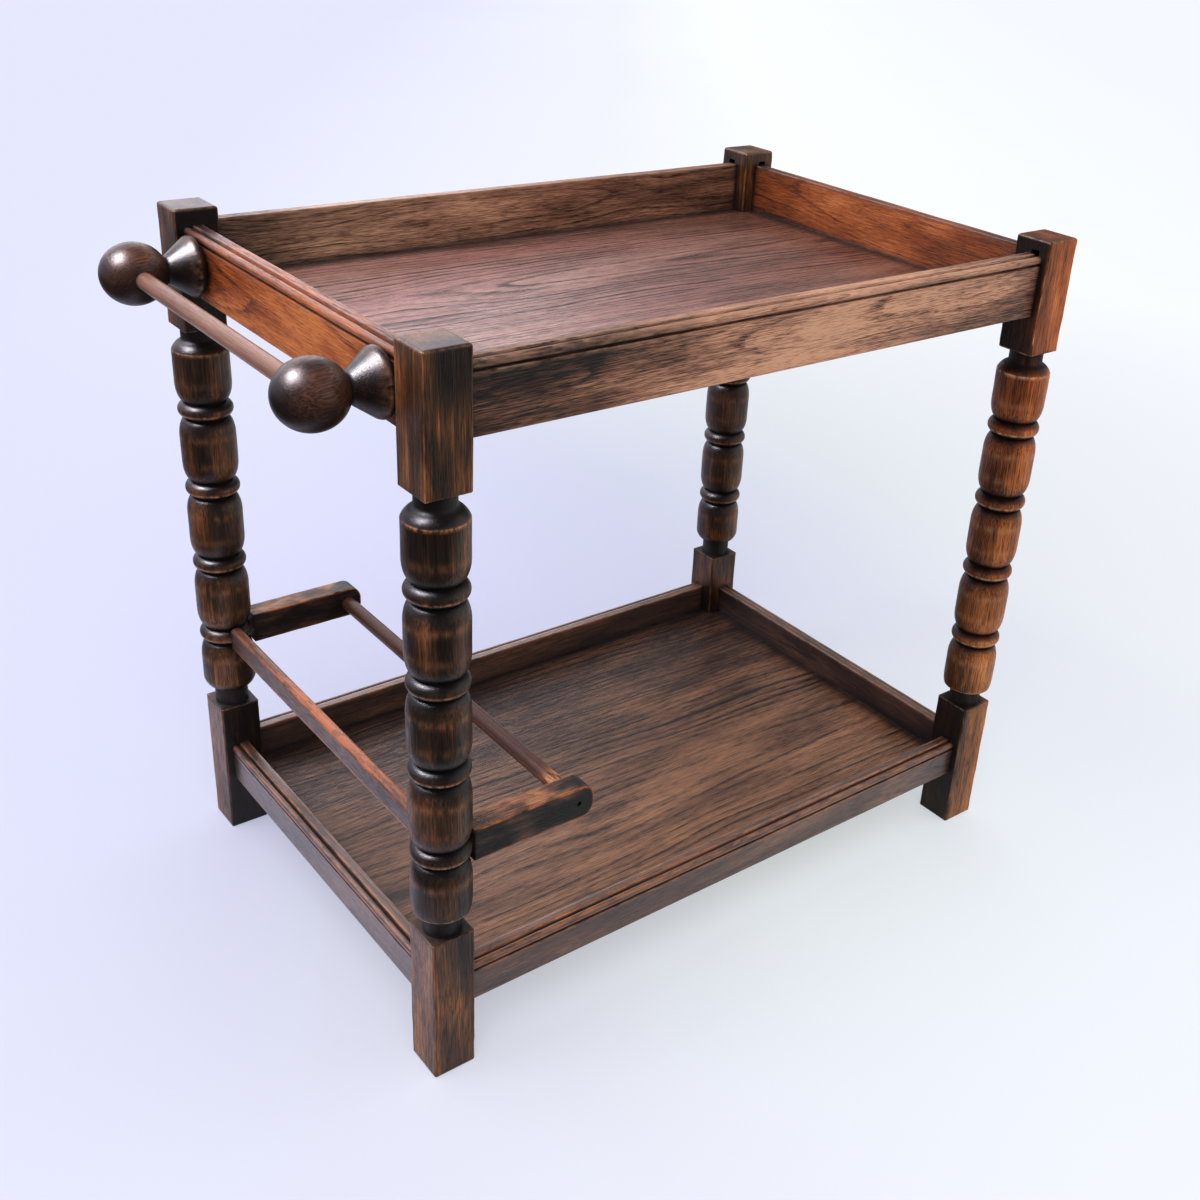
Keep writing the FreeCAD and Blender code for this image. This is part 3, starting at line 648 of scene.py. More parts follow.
# Bottle rack
def slab(skin, outline, seed):
    """An arm's outline in X and Z, extruded along Y, its arrises eased."""
    half, count = ARM_T / 2, len(outline)
    way = np.roll(outline, -1, axis=0) - outline
    back = outline - np.roll(outline, 1, axis=0)
    way /= np.linalg.norm(way, axis=1)[:, None]
    back /= np.linalg.norm(back, axis=1)[:, None]
    normal = np.stack([way[:, 1] + back[:, 1], -way[:, 0] - back[:, 0]], 1)
    normal /= np.maximum((normal ** 2).sum(1), 1e-9)[:, None] / 2
    low = [(-half, inset) for inset in (6.0, 4.0, 2.6)]
    low += [(-half + ARM_ARRIS * (1 - math.cos(t)), ARM_ARRIS * (1 - math.sin(t)))
            for t in np.linspace(0, math.pi / 2, 5)]
    rows = low + [(share * (half - ARM_ARRIS - 0.5), 0.0) for share in np.linspace(-1, 1, 15)[1:-1]]
    rows += [(-y, inset) for y, inset in reversed(low)]
    points, marks = [], []
    for y, inset in rows:
        spot = outline - normal * inset
        points.append(np.stack([spot[:, 0], np.full(count, y), spot[:, 1]], 1))
        edge = max(inset, half - abs(y))
        marks += [(near(max(edge - 0.2, 0), 1.1), 0, 0)] * count
    points = np.concatenate(points)
    points[:, 1:] += (points.mean(0) - points)[:, 1:] * hollows(points, 0.01, 24, seed)[:, None]
    skin.bar(points, marks, count)


def rack_arm(name, side, seed, material):
    skin = Skin()
    low, high, end, r = -ARM_H / 2, ARM_H / 2, ARM_LENGTH, ARM_NOSE_R
    p = [[0, low], [end - r, low]] + bend((end - r, low), (end, low), (end, low + r), 12)
    p += [[end, high - r]] + bend((end, high - r), (end, high), (end - r, high), 12) + [[0, high], [0, low]]
    slab(skin, np.array(fill(p, 4.0)[:-1]), seed)
    skin.marks[-1] = skin.marks[-1] * smooth(skin.points[-1][:, :1], 1, 12)
    origin = np.array([ARM_START, side * LEG_Y, ARM_MIDDLE])
    grain = grain_along("x", (34, 22 * side), seed, (0.03, 0.05))

    def tone(points):
        """Painted light and shade: lighter on top and darker on the sides, and darker towards the nose."""
        x, y, z = points.T
        return (-0.02 + 0.16 * smooth(z, high - 2, high) - 0.28 * smooth(np.abs(y), 11, 12.3)
                - 0.26 * smooth(x, end - 34, end - 14))

    def round_hole(points):
        x, y, z = points.T
        return (np.abs(y) > ARM_T / 2 - 0.1) & (np.hypot(x + ARM_START - RACK_ROD_X, z) < 4)

    made = skin.object(name, UPRIGHT, origin, grain, tone=tone)
    hole = [[0, -NAIL_HOLE_DEPTH], [NAIL_HOLE_R, -NAIL_HOLE_DEPTH], [NAIL_HOLE_R, 4], [0, 4]]
    bore(made, hole, [(RACK_ROD_X, side * (LEG_Y + ARM_T / 2), ARM_MIDDLE)], (0, side, 0), UPRIGHT, origin,
         grain, tone, round_hole)
    tidy_mesh(made.data, 32)
    dress(made, [name], material)


def rack_bar(seed, material):
    skin = Skin()
    half, height, r, arris = BAR_T / 2, BAR_H, BAR_ROUND, BAR_ARRIS
    p = [[-half, arris]] + bend((-half, arris), (-half, 0), (arris - half, 0), 2)
    p += [[half - arris, 0]] + bend((half - arris, 0), (half, 0), (half, arris), 2)
    p += [[half, height - r]] + bend((half, height - r), (half, height), (half - r, height), 8)
    p += [[r - half, height]] + bend((r - half, height), (-half, height), (-half, height - r), 8)
    section = np.array(fill(p + [[-half, arris]], 2.0)[:-1])
    reach = LEG_Y - RING_R - FIT_GAP
    along_y = np.repeat(np.linspace(-reach, reach, BAR_STATIONS), len(section))
    x, z = np.tile(section, (BAR_STATIONS, 1)).T
    wear = smooth(z, height - 5.5, height - 1.2) * (0.2 + 0.8 * near(along_y + 30, 110))
    wear = np.maximum(wear, 0.6 * near(np.hypot(np.abs(x) - half, z), 1.2))
    grime_and_shade = 0.8 * near(reach - np.abs(along_y), 5.0)
    grid = np.stack([x, along_y, z], 1)
    dip = hollows(grid * (1, 0.3, 1), 0.28, 20, seed)
    grid[:, 0] *= 1 - dip / half
    grid[:, 2] -= dip * smooth(z, 12, 24)
    skin.bar(grid, np.stack([wear, grime_and_shade, 0 * wear], 1), len(section))
    origin = np.array([MIDDLE_X - LEG_X, 0, ARM_MIDDLE + ARM_H / 2 - 0.5 - height])
    made = skin.object("rack_bar", UPRIGHT, origin, grain_along("y", (20, 14), seed, (0.01, 0.012)))
    dress(made, ["rack_bar"], material)


# Materials
class Tree:
    """Short calls that add nodes to a material or world."""

    def __init__(self, holder):
        holder.use_nodes = True
        self.nodes, self.links = holder.node_tree.nodes, holder.node_tree.links
        self.nodes.clear()

    def put(self, socket, value):
        if isinstance(value, bpy.types.NodeSocket):
            self.links.new(value, socket)
        elif value is not None:
            socket.default_value = value

    def node(self, kind, inputs=(), **settings):
        made = self.nodes.new("ShaderNode" + kind)
        for key, value in settings.items():
            setattr(made, key, value)
        for key, value in dict(inputs).items():
            self.put(made.inputs[key], value)
        return made

    def math(self, operation, a, b=None, c=None, clamp=False):
        return self.node("Math", enumerate((a, b, c)), operation=operation, use_clamp=clamp).outputs[0]

    def plus(self, a, b):
        return self.math("ADD", a, b)

    def minus(self, a, b):
        return self.math("SUBTRACT", a, b)

    def times(self, a, b):
        return self.math("MULTIPLY", a, b)

    def scaled(self, value, factor, more):
        return self.math("MULTIPLY_ADD", value, factor, more)

    def place(self):
        """The X, Y and Z of a point in the row, in metres."""
        return self.node("SeparateXYZ", {"Vector": self.node("TexCoord").outputs["Object"]}).outputs

    def stretch(self, vector, factors, shift=(0.0, 0.0, 0.0)):
        return self.node("Mapping", {"Vector": vector, "Scale": factors, "Location": shift}).outputs[0]

    def noise(self, vector, scale=1.0, detail=2.0, rough=0.5):
        made = self.node("TexNoise", {"Vector": vector, "Scale": scale, "Detail": detail, "Roughness": rough})
        return made.outputs["Fac"]

    def spread(self, value, low, high, start=0.0, end=1.0):
        """Stretches low to high over start to end, and stops there."""
        return self.node("MapRange", {"Value": value, "From Min": low, "From Max": high,
                                      "To Min": start, "To Max": end}).outputs[0]

    def ramp(self, value, stops):
        made = self.node("ValToRGB", {"Fac": value})
        elements = made.color_ramp.elements
        elements.remove(elements[-1])
        for k, (place, colour) in enumerate(stops):
            spot = elements.new(place) if k else elements[0]
            spot.position = place
            spot.color = (*np.broadcast_to(colour, 3), 1.0)
        return made.outputs["Color"]

    def mix(self, share, a, b, blend="MIX"):
        """b over a by the share, both linked or given as three numbers."""
        a, b = (rgb(*c) if isinstance(c, tuple) else c for c in (a, b))
        return self.node("Mix", {0: share, 6: a, 7: b}, data_type="RGBA", blend_type=blend).outputs[2]

    def tinted(self, share, colour, factors):
        """The colour, multiplied by factors where the share is 1."""
        return self.mix(share, colour, self.mix(1.0, colour, factors, "MULTIPLY"))

    def surface(self, height, strength, distance, inputs):
        """The material's surface, with fine relief that is distance metres deep."""
        bump = self.node("Bump", {"Height": height, "Strength": strength, "Distance": distance})
        shader = self.node("BsdfPrincipled", {"Normal": bump.outputs[0], **inputs})
        self.node("OutputMaterial", {"Surface": shader.outputs[0]})


def rgb(*colour):
    return (*colour, 1.0)


def growth_rings(t, grain, grained, ring, warp, dash):
    """Dark lines round the pith, some ring mm apart, bent by slow and quick warps."""
    x, y, _ = t.node("SeparateXYZ", {"Vector": grain}).outputs
    radius = t.math("SQRT", t.plus(t.times(x, x), t.times(y, y)))
    for size, amount in (((0.009, 0.0028), 34.0 * warp), ((0.035, 0.008), 6.0 * warp),
                         ((0.22, 0.035), 1.6)):
        radius = t.scaled(grained(*size), amount, radius)
    phase = t.math("DIVIDE", radius, ring)
    drift = t.node("TexNoise", {"W": t.times(phase, 0.31), "Scale": 1.0, "Detail": 1.0},
                   noise_dimensions="1D")
    phase = t.scaled(drift.outputs["Fac"], 1.6, phase)
    strength = t.node("TexWhiteNoise", {"W": t.math("FLOOR", phase)}, noise_dimensions="1D").outputs["Value"]
    band = t.ramp(t.math("FRACT", phase), [(0.0, 0.6), (0.06, 1.0), (0.16, 0.8), (0.32, 0.25), (0.6, 0.0),
                                           (0.9, 0.05), (1.0, 0.6)])
    band = t.times(band, t.scaled(t.times(strength, strength), 0.8, 0.2))
    band = t.times(band, t.spread(grained(0.03, 0.007, 2.0, 0.6, (7.3, 1.9, 4.4)), 0.35, 0.6, 0.3, 1.0))
    # Pores gather in the dark part of each ring and break it into dashes
    dashes = t.spread(grained(1.1, 0.045, 2.0, 0.6, (1.1, 5.2, 8.8)), 0.42, 0.55)
    return t.times(band, t.scaled(dashes, dash, 1.0 - dash))


def tray_grime_and_shade(t, grained, colour):
    """Dirt and painted shade on a tray board, gathered where it meets the rails."""
    x, y, _ = t.place()
    to_x = t.minus(TRAY_X * MM, t.math("ABSOLUTE", t.minus(x, MIDDLE_X * MM)))
    to_y = t.minus(TRAY_Y * MM, t.math("ABSOLUTE", y))
    soil = grained(0.03, 0.02, 3.0, 0.6, (9.0, 1.0, 3.0))
    gap = t.scaled(soil, -0.012, t.math("MINIMUM", to_x, to_y))
    dirt_and_shade = t.ramp(t.times(gap, 40.0), [(0.0, 1.0), (0.08, 0.75), (0.5, 0.0)])
    return t.mix(t.times(dirt_and_shade, 0.72), colour, (0.016, 0.012, 0.012))


def oak(name, colours, ring, line, blotch, streak, rough, pore=0.3, worn=(0.42, 0.19, 0.08), wear=1.0,
        coat=0.0, mapping=None, warp=1.0, blotch_size=(0.03, 0.006), flames=0.0, tint=None, depth=0.00022,
        specular=0.4, lean=None, dash=0.7, bare=0.8, fade=None, even=0.0, tray=False):
    """Dark stained oak. colours run from the deepest stain to the lightest wood, and lengths are in mm. A
    mapping is for solids without marks, and turns their metres into wood mm. lean makes the wood lighter
    along X and Y: painted light and shade. fade is an axis, where in metres a change of colour starts and
    ends, and its factors: a painted change of light and sheen."""
    material = bpy.data.materials.new(name)
    t = Tree(material)
    if mapping:
        grain = t.node("Mapping", {"Vector": t.node("TexCoord").outputs["Object"], **mapping}).outputs[0]
    else:
        grain, marks, tone = (t.node("Attribute", attribute_name=label).outputs
                              for label in ("grain", "marks", "tone"))
        grain = grain["Vector"]
        rub, grime_and_shade, end = t.node("SeparateXYZ", {"Vector": marks["Vector"]}).outputs

    def grained(across, along_it, detail=1.0, roughness=0.5, shift=(0.0, 0.0, 0.0)):
        """Noise drawn out along the grain, from its lumps per mm across the grain and along it."""
        return t.noise(t.stretch(grain, (across, across, along_it), shift), 1.0, detail, roughness)

    band = growth_rings(t, grain, grained, ring, warp, dash)
    pits = t.times(t.spread(grained(1.15, 0.07), 0.5, 0.6), t.scaled(band, 0.6, 0.5))
    fibres = t.spread(grained(0.85, 0.016, 2.0, 0.7), 0.36, 0.64)
    stain = t.spread(grained(*blotch_size, 2.0, 0.5, (3.1, 8.2, 0.7)), 0.34, 0.66)
    flame = t.spread(grained(0.2, 0.007, 2.0, 0.55, (0.4, 2.2, 5.5)), 0.54, 0.69)
    if not mapping:
        calm = t.spread(end, 0.1, 0.5, 1.0, 0.4)
        pits, flame, fibres = (t.times(share, calm) for share in (pits, flame, fibres))
    value = t.scaled(stain, blotch, 0.56 - blotch / 2)
    value = t.plus(t.plus(value, t.scaled(fibres, streak, -streak / 2)), t.times(flame, flames))
    value = t.minus(t.minus(value, t.times(band, line)), t.times(pits, pore))
    if not mapping:
        value = t.plus(value, tone["Fac"])
    if lean:
        x, y, _ = t.place()
        value = t.plus(value, t.scaled(x, lean[0], t.scaled(y, lean[1], lean[2])))
    value = t.math("MAXIMUM", t.math("MINIMUM", value, 1.0), 0.0)
    colour = t.ramp(value, list(zip((0.0, 0.25, 0.5, 0.75, 1.0), colours)))
    if fade:
        axis, start, stop, factors = fade
        colour = t.tinted(t.spread(t.place()[axis], start, stop), colour, factors)
    if tint:
        colour = t.tinted(t.spread(grained(0.014, 0.004, 2.0, 0.5, (1.7, 0.4, 9.1)), 0.4, 0.6), colour, tint)
    relief = t.scaled(pits, -1.0, t.scaled(band, -0.5, t.times(fibres, 0.4)))
    gloss = grained(0.03, 0.012, 3.0, 0.6, (5.0, 5.0, 2.0))
    roughness = t.scaled(pits, 0.2, t.scaled(gloss, 0.22, rough - 0.11))
    if tray:
        colour = tray_grime_and_shade(t, grained, colour)
    if not mapping:
        patches = t.spread(grained(0.16, 0.045, 3.0, 0.65, (2.0, 6.0, 1.0)), 0.38, 0.6, even)
        rubbed = t.math("MULTIPLY", t.times(rub, patches), wear, clamp=True)
        # End grain takes more stain and turns darker; the lavender cast of its factors is a painted
        # reflection.
        colour = t.tinted(t.times(end, 0.9), colour, (0.30, 0.21, 0.27))
        colour = t.mix(rubbed, colour, t.mix(t.times(fibres, bare), worn, tuple(c * 0.45 for c in worn)))
        # Darker from the grime mark: dirt in the joints, painted shade in grooves and recesses.
        soil = t.spread(grained(0.12, 0.04, 3.0, 0.6, (9.0, 1.0, 3.0)), 0.3, 0.55, 0.6, 1.0)
        dirt_and_shade = t.math("MULTIPLY", grime_and_shade, soil, clamp=True)
        colour = t.mix(t.times(dirt_and_shade, 0.9), colour, (0.012, 0.010, 0.010))
        roughness = t.scaled(end, 0.09, t.scaled(dirt_and_shade, 0.2, roughness))
    t.surface(relief, 0.7, depth, {
        "Base Color": colour, "Roughness": t.math("MINIMUM", roughness, 0.95), "IOR": 1.5,
        "Specular IOR Level": specular, "Coat Weight": coat, "Coat Roughness": 0.3})
    return material


def board_oak(name, colours, board_top, pith_below, pith_y, tilt, **more):
    """Oak of a tray board: the grain runs along X, and the pith lies some mm below the board's top."""
    turn = Matrix.Rotation(tilt[0], 3, "Y") @ Matrix.Rotation(tilt[1], 3, "Z")
    swap = Matrix(((0, 1, 0), (0, 0, 1), (1, 0, 0)))
    mapping = {"Scale": MM_IN_METRE, "Rotation": (swap @ turn).to_euler(),
               "Location": (-pith_y, pith_below - board_top, 500.0)}
    return oak(name, colours, mapping=mapping, warp=1.2, tray=True, **more)


def metal(name, colour):
    """Dull steel with fine scratches and dark specks."""
    material = bpy.data.materials.new(name)
    t = Tree(material)
    place = t.node("TexCoord").outputs["Object"]
    speck = t.ramp(t.noise(place, 900.0, 4.0, 0.7), [(0.42, 0.0), (0.66, 1.0)])
    scratch = t.noise(t.stretch(place, (3000.0, 400.0, 3000.0)))
    t.surface(scratch, 0.3, 0.00005, {
        "Base Color": t.mix(speck, colour, tuple(c * 0.25 for c in colour)),
        "Roughness": t.scaled(scratch, 0.35, 0.25), "Metallic": 1.0})
    return material


MM_IN_METRE = (1000.0, 1000.0, 1000.0)
LEG_COLOURS = [(0.009, 0.006, 0.005), (0.025, 0.014, 0.008), (0.074, 0.033, 0.014), (0.20, 0.082, 0.027),
               (0.42, 0.185, 0.066)]
RUSSET_COLOURS = [(0.014, 0.007, 0.005), (0.058, 0.020, 0.007), (0.20, 0.058, 0.016), (0.40, 0.125, 0.034),
                  (0.61, 0.26, 0.095)]
RAIL_COLOURS = [(0.014, 0.010, 0.008), (0.050, 0.027, 0.018), (0.145, 0.072, 0.044), (0.30, 0.155, 0.097),
                (0.50, 0.29, 0.18)]
DUSK_COLOURS = [(0.010, 0.008, 0.008), (0.030, 0.019, 0.016), (0.085, 0.045, 0.031), (0.20, 0.10, 0.058),
                (0.42, 0.22, 0.12)]
RACK_COLOURS = [(0.010, 0.008, 0.007), (0.030, 0.019, 0.015), (0.085, 0.043, 0.027), (0.21, 0.095, 0.046),
                (0.43, 0.20, 0.090)]
TOP_COLOURS = [(0.030, 0.016, 0.014), (0.10, 0.052, 0.043), (0.235, 0.13, 0.106), (0.35, 0.205, 0.17),
               (0.46, 0.285, 0.23)]
LOW_COLOURS = [(0.020, 0.012, 0.010), (0.070, 0.034, 0.021), (0.185, 0.092, 0.048), (0.30, 0.155, 0.080),
               (0.42, 0.23, 0.125)]
KNOB_COLOURS = [(0.004, 0.002, 0.002), (0.012, 0.005, 0.003), (0.034, 0.014, 0.008), (0.085, 0.036, 0.020),
                (0.18, 0.08, 0.042)]
ROD_COLOURS = [(0.10, 0.044, 0.028), (0.175, 0.084, 0.053), (0.25, 0.128, 0.084), (0.335, 0.18, 0.124),
               (0.43, 0.25, 0.18)]
BEECH_COLOURS = [(0.25, 0.14, 0.07), (0.36, 0.22, 0.12), (0.45, 0.29, 0.17), (0.5, 0.34, 0.2),
                 (0.56, 0.4, 0.25)]

# ring, line, blotch, streak and roughness come first, and then what differs from the usual
leg_oak = oak("oak leg", LEG_COLOURS, 2.4, 0.3, 0.38, 0.2, 0.3, flames=0.16, worn=(0.48, 0.21, 0.085),
              blotch_size=(0.04, 0.012), specular=0.5, depth=0.0002, dash=0.4)
# The fade greys the lower part of this leg: a painted reflection of the floor.
russet_leg = oak("oak leg russet", RUSSET_COLOURS, 2.8, 0.36, 0.28, 0.2, 0.32, flames=0.1,
                 worn=(0.62, 0.36, 0.19), blotch_size=(0.045, 0.011), specular=0.3, dash=0.5,
                 fade=(2, 0.62, 0.16, (0.95, 1.32, 1.65)))
rail_oak = oak("oak rail", RAIL_COLOURS, 3.6, 0.6, 0.32, 0.32, 0.36, pore=0.44, worn=(0.44, 0.26, 0.17),
               blotch_size=(0.035, 0.009), dash=0.5)
# The fade warms the left rail: colour painted against the lavender light on that side.
russet_rail = oak("oak rail russet", RUSSET_COLOURS, 4.4, 0.4, 0.18, 0.24, 0.34, pore=0.28,
                  worn=(0.33, 0.21, 0.16), blotch_size=(0.04, 0.014), dash=0.4,
                  fade=(0, 0.0, -0.3, (1.02, 0.92, 0.68)))
# The fade greys the back rail's left part: a painted sheen.
back_rail = oak("oak rail back", RAIL_COLOURS, 3.6, 0.5, 0.22, 0.26, 0.36, pore=0.34, worn=(0.44, 0.26, 0.17),
                blotch_size=(0.035, 0.009), dash=0.5, fade=(0, 0.1, -0.3, (0.96, 1.18, 1.26)))
dusk_rail = oak("oak rail dark", DUSK_COLOURS, 3.6, 0.36, 0.2, 0.22, 0.3, worn=(0.46, 0.20, 0.09),
                blotch_size=(0.035, 0.009), specular=0.5, coat=0.7, dash=0.5)
knob_oak = oak("oak knob", KNOB_COLOURS, 2.6, 0.4, 0.34, 0.3, 0.32, depth=0.0001, specular=0.5, dash=0.5)
rack_oak = oak("oak rack", RACK_COLOURS, 3.2, 0.3, 0.6, 0.16, 0.33, flames=0.14, blotch_size=(0.045, 0.025),
               worn=(0.55, 0.22, 0.08))
bar_oak = oak("oak rack bar", DUSK_COLOURS, 3.2, 0.3, 0.2, 0.2, 0.3, even=0.25, worn=(0.52, 0.17, 0.06),
              wear=1.9, bare=0.5, coat=0.2)
rod_wood = oak("rod wood", ROD_COLOURS, 2.6, 0.1, 0.3, 0.2, 0.3, pore=0.1, worn=(0.70, 0.32, 0.13), wear=2.0,
               depth=0.00008, specular=0.3)
# The fade and lean darken and redden the top board's right end: painted loss of sheen.
top_oak = board_oak("oak top board", TOP_COLOURS, TOP_RAIL_TOP - TOP_RAIL_H + BOARD_T, 45.0, 70.0,
                    (0.03, 0.01), ring=7.0, line=1.3, blotch=0.22, streak=0.3, rough=0.3, dash=0.4,
                    tint=(1.0, 0.9, 0.93), fade=(0, -0.02, 0.38, (0.76, 0.62, 0.47)),
                    lean=(-0.12, 0.0, 0.07), specular=0.55)
# The lean darkens the lower board's back, under the top tray, and lightens its front: painted shade and
# light.
low_oak = board_oak("oak lower board", LOW_COLOURS, LOWER_RAIL_TOP - LOWER_RAIL_H + BOARD_T, 50.0, -90.0,
                    (-0.025, 0.012), ring=9.0, line=1.0, blotch=0.3, streak=0.32, rough=0.34, dash=0.5,
                    tint=(0.85, 0.85, 0.9), lean=(0.06, -1.1, -0.03), specular=0.5)
beech = oak("beech dowel", BEECH_COLOURS, 2.5, 0.15, 0.3, 0.3, 0.6, mapping={"Scale": MM_IN_METRE}, pore=0.08)
steel = metal("dull steel", (0.42, 0.40, 0.37))

# Pieces
# Each leg's tones paint light on the side facing the light and shade on the other; their patches paint dirt
# and shade by the joints and a sheen on the back left foot.
leg("leg_front_left", -1, -1, 11, leg_oak, toned(-0.05, -0.25, (-1, 0), 0.16, smudges_and_light=[
    (0, -23, 152, 24, -0.14), (-8, -23, 712, 16, -0.22), (14, -23, 722, 15, -0.2), (16, -23, 655, 13, -0.18),
    (-19, -23, 660, 9, -0.16)]), 25, 27)
leg("leg_front_right", 1, -1, 12, russet_leg, toned(-0.18, -0.07, (1, -1), 0.38, 0.16, [
    (0, -23, 60, 90, -0.06), (0, -23, 155, 22, -0.15)]), 22, 27)
leg("leg_back_left", -1, 1, 13, leg_oak, toned(-0.24, -0.16, (-1, 1), 0.42, smudges_and_light=[
    (-23, 0, 70, 60, 0.1)]), 20.5, 20.5)
leg("leg_back_right", 1, 1, 14, leg_oak, toned(-0.06, -0.12, (1, 0), 0.05), 21, 20.5)
# The tones along each rail are partly the wood's own and partly painted light and shade.
for count, (side, stain, crest, top_tones, low_tones) in enumerate((
        ("front", rail_oak, 0.06, (-0.32, -0.08, 0.40, 0.48, 0.28, 0.08), (-0.08, -0.02, 0.04, 0.02, 0.04)),
        ("back", back_rail, 0.06, (-0.02, 0.10, 0.16, 0.18, 0.28, -0.16), (-0.09, 0.02, -0.02, -0.09)),
        ("left", russet_rail, -0.2, (-0.24, 0.30, 0.38, 0.28, -0.2), (-0.12, -0.05, -0.08, -0.12)),
        ("right", russet_rail, -0.2, (-0.06, 0.2, 0.22, 0.16, -0.04), (-0.14, -0.08, -0.10, -0.14)))):
    rail("top_rail_" + side, side, TOP_RAIL_TOP, TOP_RAIL_H, 21 + count, stain, along(top_tones, crest),
         (-KNOB_Y, KNOB_Y) if side == "left" else ())
    rail("lower_rail_" + side, side, LOWER_RAIL_TOP, LOWER_RAIL_H, 31 + count, dusk_rail,
         along(low_tones, 0.12))
knob("knob_front", -1, 51, knob_oak)
knob("knob_back", 1, 52, knob_oak)
rod("handle_rod", KNOB_FOOT_X - BALL_X, HANDLE_Z, HANDLE_HALF, False, 61, rod_wood, -0.05)
rod("rack_rod", RACK_ROD_X, ARM_MIDDLE, RACK_ROD_HALF, True, 62, rod_wood, -0.56)
rack_arm("rack_arm_front", -1, 71, rack_oak)
rack_arm("rack_arm_back", 1, 72, rack_oak)
rack_bar(73, bar_oak)

for node, material in (("top_board", top_oak), ("lower_board", low_oak), ("knob_screws", steel),
                       ("rack_nails", steel), ("rack_arm_dowels", beech), ("rack_bar_dowels", beech),
                       ("top_board_pins", steel), ("lower_board_pins", steel)):
    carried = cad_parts[node]
    carried.data.materials.clear()
    carried.data.materials.append(material)


# Floor, light and camera
def sheet(name, corners, material_name):
    """One flat face that belongs to the stage, with a new material. Gives the object and its node tree."""
    mesh = bpy.data.meshes.new(name)
    mesh.from_pydata(corners, [], [tuple(range(len(corners)))])
    made = linked(name, mesh)
    material = bpy.data.materials.new(material_name)
    mesh.materials.append(material)
    return made, Tree(material)


def floor():
    reach, drop = 40.0, 0.0002
    made, t = sheet("floor", [(-reach, -reach, 0), (reach, -reach, 0), (reach, reach, 0), (-reach, reach, 0)],
                    "pale floor")
    made.location = (0, 0, -drop)
    place = t.node("TexCoord").outputs["Object"]
    x, y, _ = t.node("SeparateXYZ", {"Vector": place}).outputs
    # The floor's glow is painted light: lavender towards the left, paler towards the right.
    side = t.scaled(x, 0.26, t.times(y, -0.2))
    side = t.scaled(t.plus(side, t.times(t.noise(place, 0.7), 0.1)), 0.5, 0.4)
    glow = t.ramp(side, [(0.18, (0.68, 0.69, 0.90)), (0.34, (0.80, 0.83, 0.95)), (0.41, (0.84, 0.85, 0.93)),
                         (0.52, (0.95, 0.98, 0.93)), (0.92, (0.86, 0.88, 0.90))])

    def distance(spot):
        return t.node("VectorMath", {0: place, 1: spot}, operation="DISTANCE").outputs["Value"]

    # Painted shadow of the cart on the sweep behind it: lavender on the left, grey on the right
    cart_shadow_colour = t.ramp(t.scaled(x, 0.5, 0.25), [(0.05, (0.58, 0.58, 0.93)), (0.35, (0.61, 0.61, 0.93)),
                                          (0.53, (0.56, 0.58, 0.77)), (0.8, (0.61, 0.66, 0.66))])
    glow = t.mix(t.spread(distance((0.7, 0.8, 0.0)), 0.0, 2.0, 1.0, 0.0), glow, cart_shadow_colour)
    # Painted light under the front of the cart, over its real shadow.
    glow = t.mix(t.spread(distance((0.2, -0.25, 0.0)), 0.1, 0.7, 1.0, 0.0), glow, (0.91, 0.97, 0.97))
    t.surface(t.noise(place, 220.0), 0.05, 0.0005, {
        "Roughness": 0.62, "Base Color": rgb(0.27, 0.275, 0.29), "Specular IOR Level": 0.0,
        "Emission Color": glow, "Emission Strength": 0.572})


def soft_sun(name, way, angle, power, colour, glossy=True):
    """A broad even light from so far away that the whole floor gets the same. way points to the light."""
    light = bpy.data.lights.new(name, "SUN")
    light.angle = math.radians(angle)
    light.energy = power
    light.color = colour
    made = linked(name, light)
    made.rotation_euler = Vector(way).to_track_quat("Z", "Y").to_euler()
    made.visible_glossy = glossy


def sky():
    """A studio dome: bright overhead, behind and at the sides, dark where the photographer stands."""
    world = bpy.data.worlds.new("studio")
    bpy.context.scene.world = world
    t = Tree(world)
    x, y, z = t.node("SeparateXYZ", {"Vector": t.node("TexCoord").outputs["Generated"]}).outputs
    shade = t.ramp(t.scaled(x, 0.5, 0.5), [(0.0, (0.80, 0.79, 1.0)), (0.5, (0.92, 0.93, 1.0)),
                                           (1.0, (0.99, 0.99, 1.0))])
    high = t.spread(z, 0.1, 0.8)
    open_side = t.spread(t.scaled(x, -0.64, t.times(y, -0.77)), 0.75, 0.0, 0.16, 0.95)
    strength = t.plus(t.times(open_side, t.minus(1.0, high)), high)
    light = t.node("Background", {"Color": shade, "Strength": t.times(strength, 1.4)})
    t.node("OutputWorld", {"Surface": light.outputs[0]})


def reflected_card(name, corners, colour, strength):
    """A studio card that only shows in gloss: a light, or a part of the dark room."""
    made, t = sheet(name, corners, name)
    glow = t.node("Emission", {"Color": rgb(*colour), "Strength": strength})
    t.node("OutputMaterial", {"Surface": glow.outputs[0]})
    for kind in ("camera", "diffuse", "transmission", "volume_scatter", "shadow"):
        setattr(made, "visible_" + kind, False)


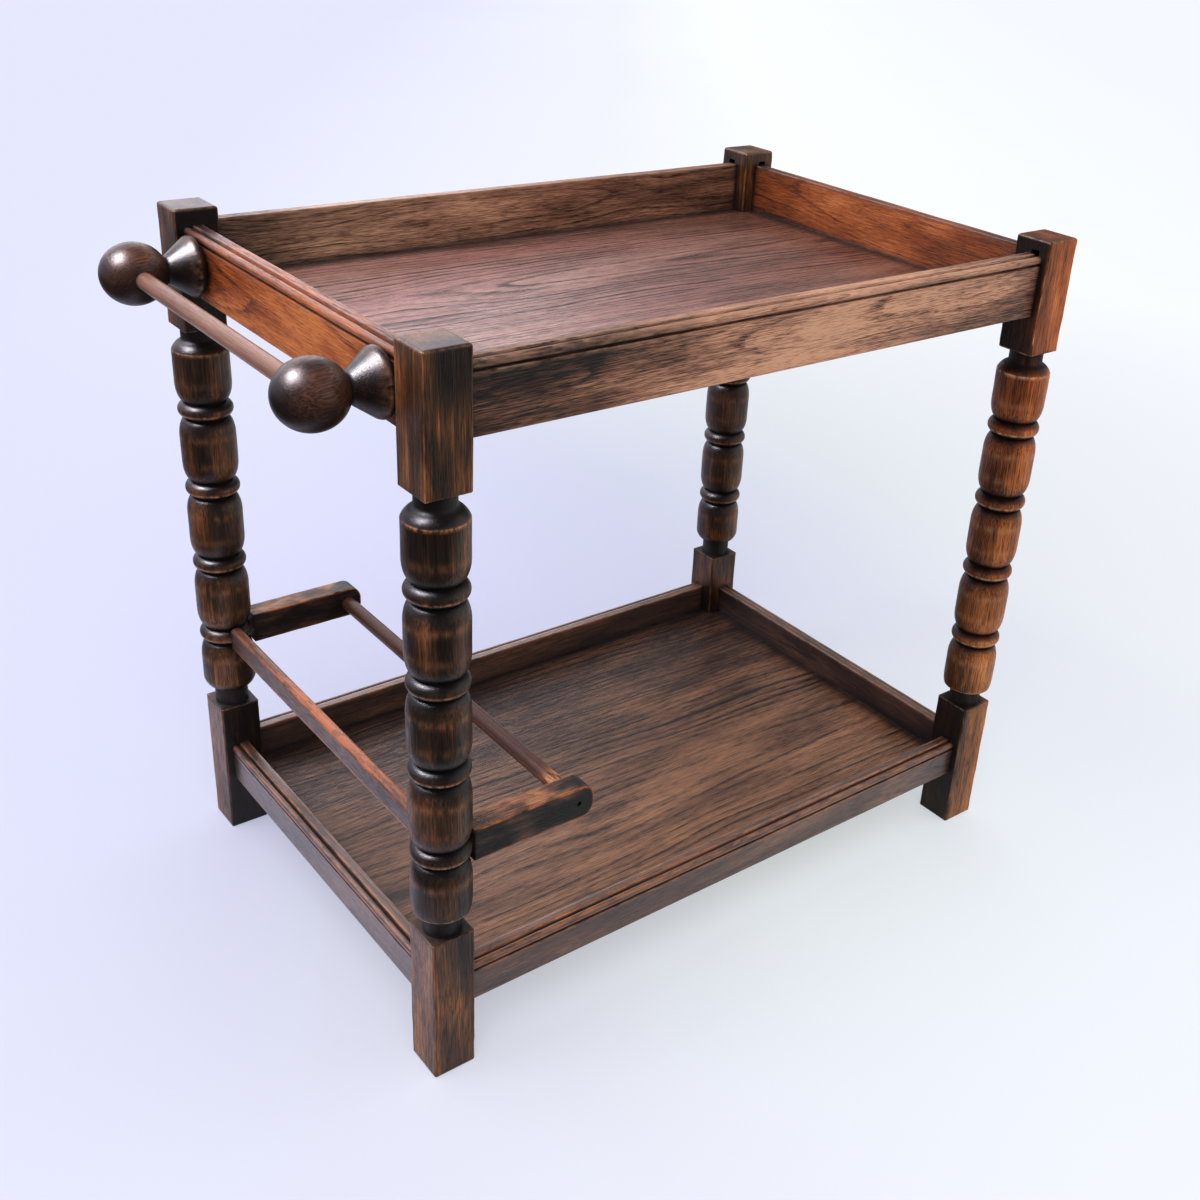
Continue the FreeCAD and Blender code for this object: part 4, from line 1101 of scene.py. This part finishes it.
def camera():
    """The camera as fitted to the photo: its axes, its place, and its lens and centre in pixels."""
    lens = bpy.data.cameras.new("view")
    made = linked("view", lens)
    right = Vector((0.785166, -0.616502, 0.058648))
    down = Vector((-0.242094, -0.392733, -0.887213))
    ahead = Vector((0.570003, 0.682414, -0.457612))
    turn = Matrix((right, -down, -ahead)).transposed()
    made.matrix_world = Matrix.Translation((-0.8525, -1.1555, 1.0832)) @ turn.to_4x4()
    pixels, focal, centre = 1200, 1434.6, (662.73, 576.35)
    lens.sensor_width = 36.0
    lens.lens = focal / pixels * lens.sensor_width
    lens.shift_x = (pixels / 2 - centre[0]) / pixels
    lens.shift_y = (centre[1] - pixels / 2) / pixels
    lens.clip_end = 200.0
    bpy.context.scene.camera = made


floor()
sky()
soft_sun("key", (-0.42, -0.60, 0.68), 50.0, 1.6, (1.0, 0.97, 0.94), glossy=False)
soft_sun("window", (-0.53, 0.20, 0.83), 20.0, 0.5, (0.95, 0.95, 1.0))
for card in (
        ("unlit floor", [(-0.70, -0.35, 0.004), (-0.85, 3.6, 0.004), (-4.5, 3.6, 0.004), (-4.5, -4.5, 0.004),
                         (1.6, -4.5, 0.004), (1.6, -2.4, 0.004), (0.1, -0.75, 0.004)],
         (0.07, 0.06, 0.06), 1.0),
        ("unlit room", [(-4.6, 0.2, 0.4), (0.6, -4.6, 0.4), (0.2, -3.8, 4.6), (-3.8, -0.2, 4.6)],
         (0.10, 0.09, 0.09), 1.0),
        ("bright backdrop", [(2.2, 3.4, 1.0), (-1.5, 3.7, 1.0), (-1.5, 3.7, 3.8), (2.2, 3.4, 3.8)],
         (0.95, 0.93, 1.0), 2.8),
        ("dim backdrop", [(2.5, 3.2, 0.5), (4.0, 0.5, 0.5), (4.0, 0.5, 2.6), (2.5, 3.2, 2.6)],
         (1.0, 0.97, 0.95), 0.3),
        ("ceiling window", [(-2.9, 0.3, 2.9), (-1.9, 1.6, 2.9), (-1.0, 0.8, 3.3), (-1.9, -0.5, 3.3)],
         (1.0, 0.95, 1.04), 56.0),
        ("floor by the left end", [(-0.55, -0.33, 0.005), (-0.385, -0.30, 0.005), (-0.385, 0.5, 0.005),
                                   (-0.55, 0.5, 0.005)], (0.95, 0.90, 1.1), 1.3),
        ("unlit ceiling", [(-4.5, -4.5, 4.4), (3.0, -4.5, 4.4), (3.0, 2.2, 4.4), (-4.5, 2.2, 4.4)],
         (0.10, 0.09, 0.09), 1.0)):
    reflected_card(*card)
camera()
bpy.context.scene.view_settings.view_transform = "Standard"
bpy.context.scene.view_settings.gamma = 0.8
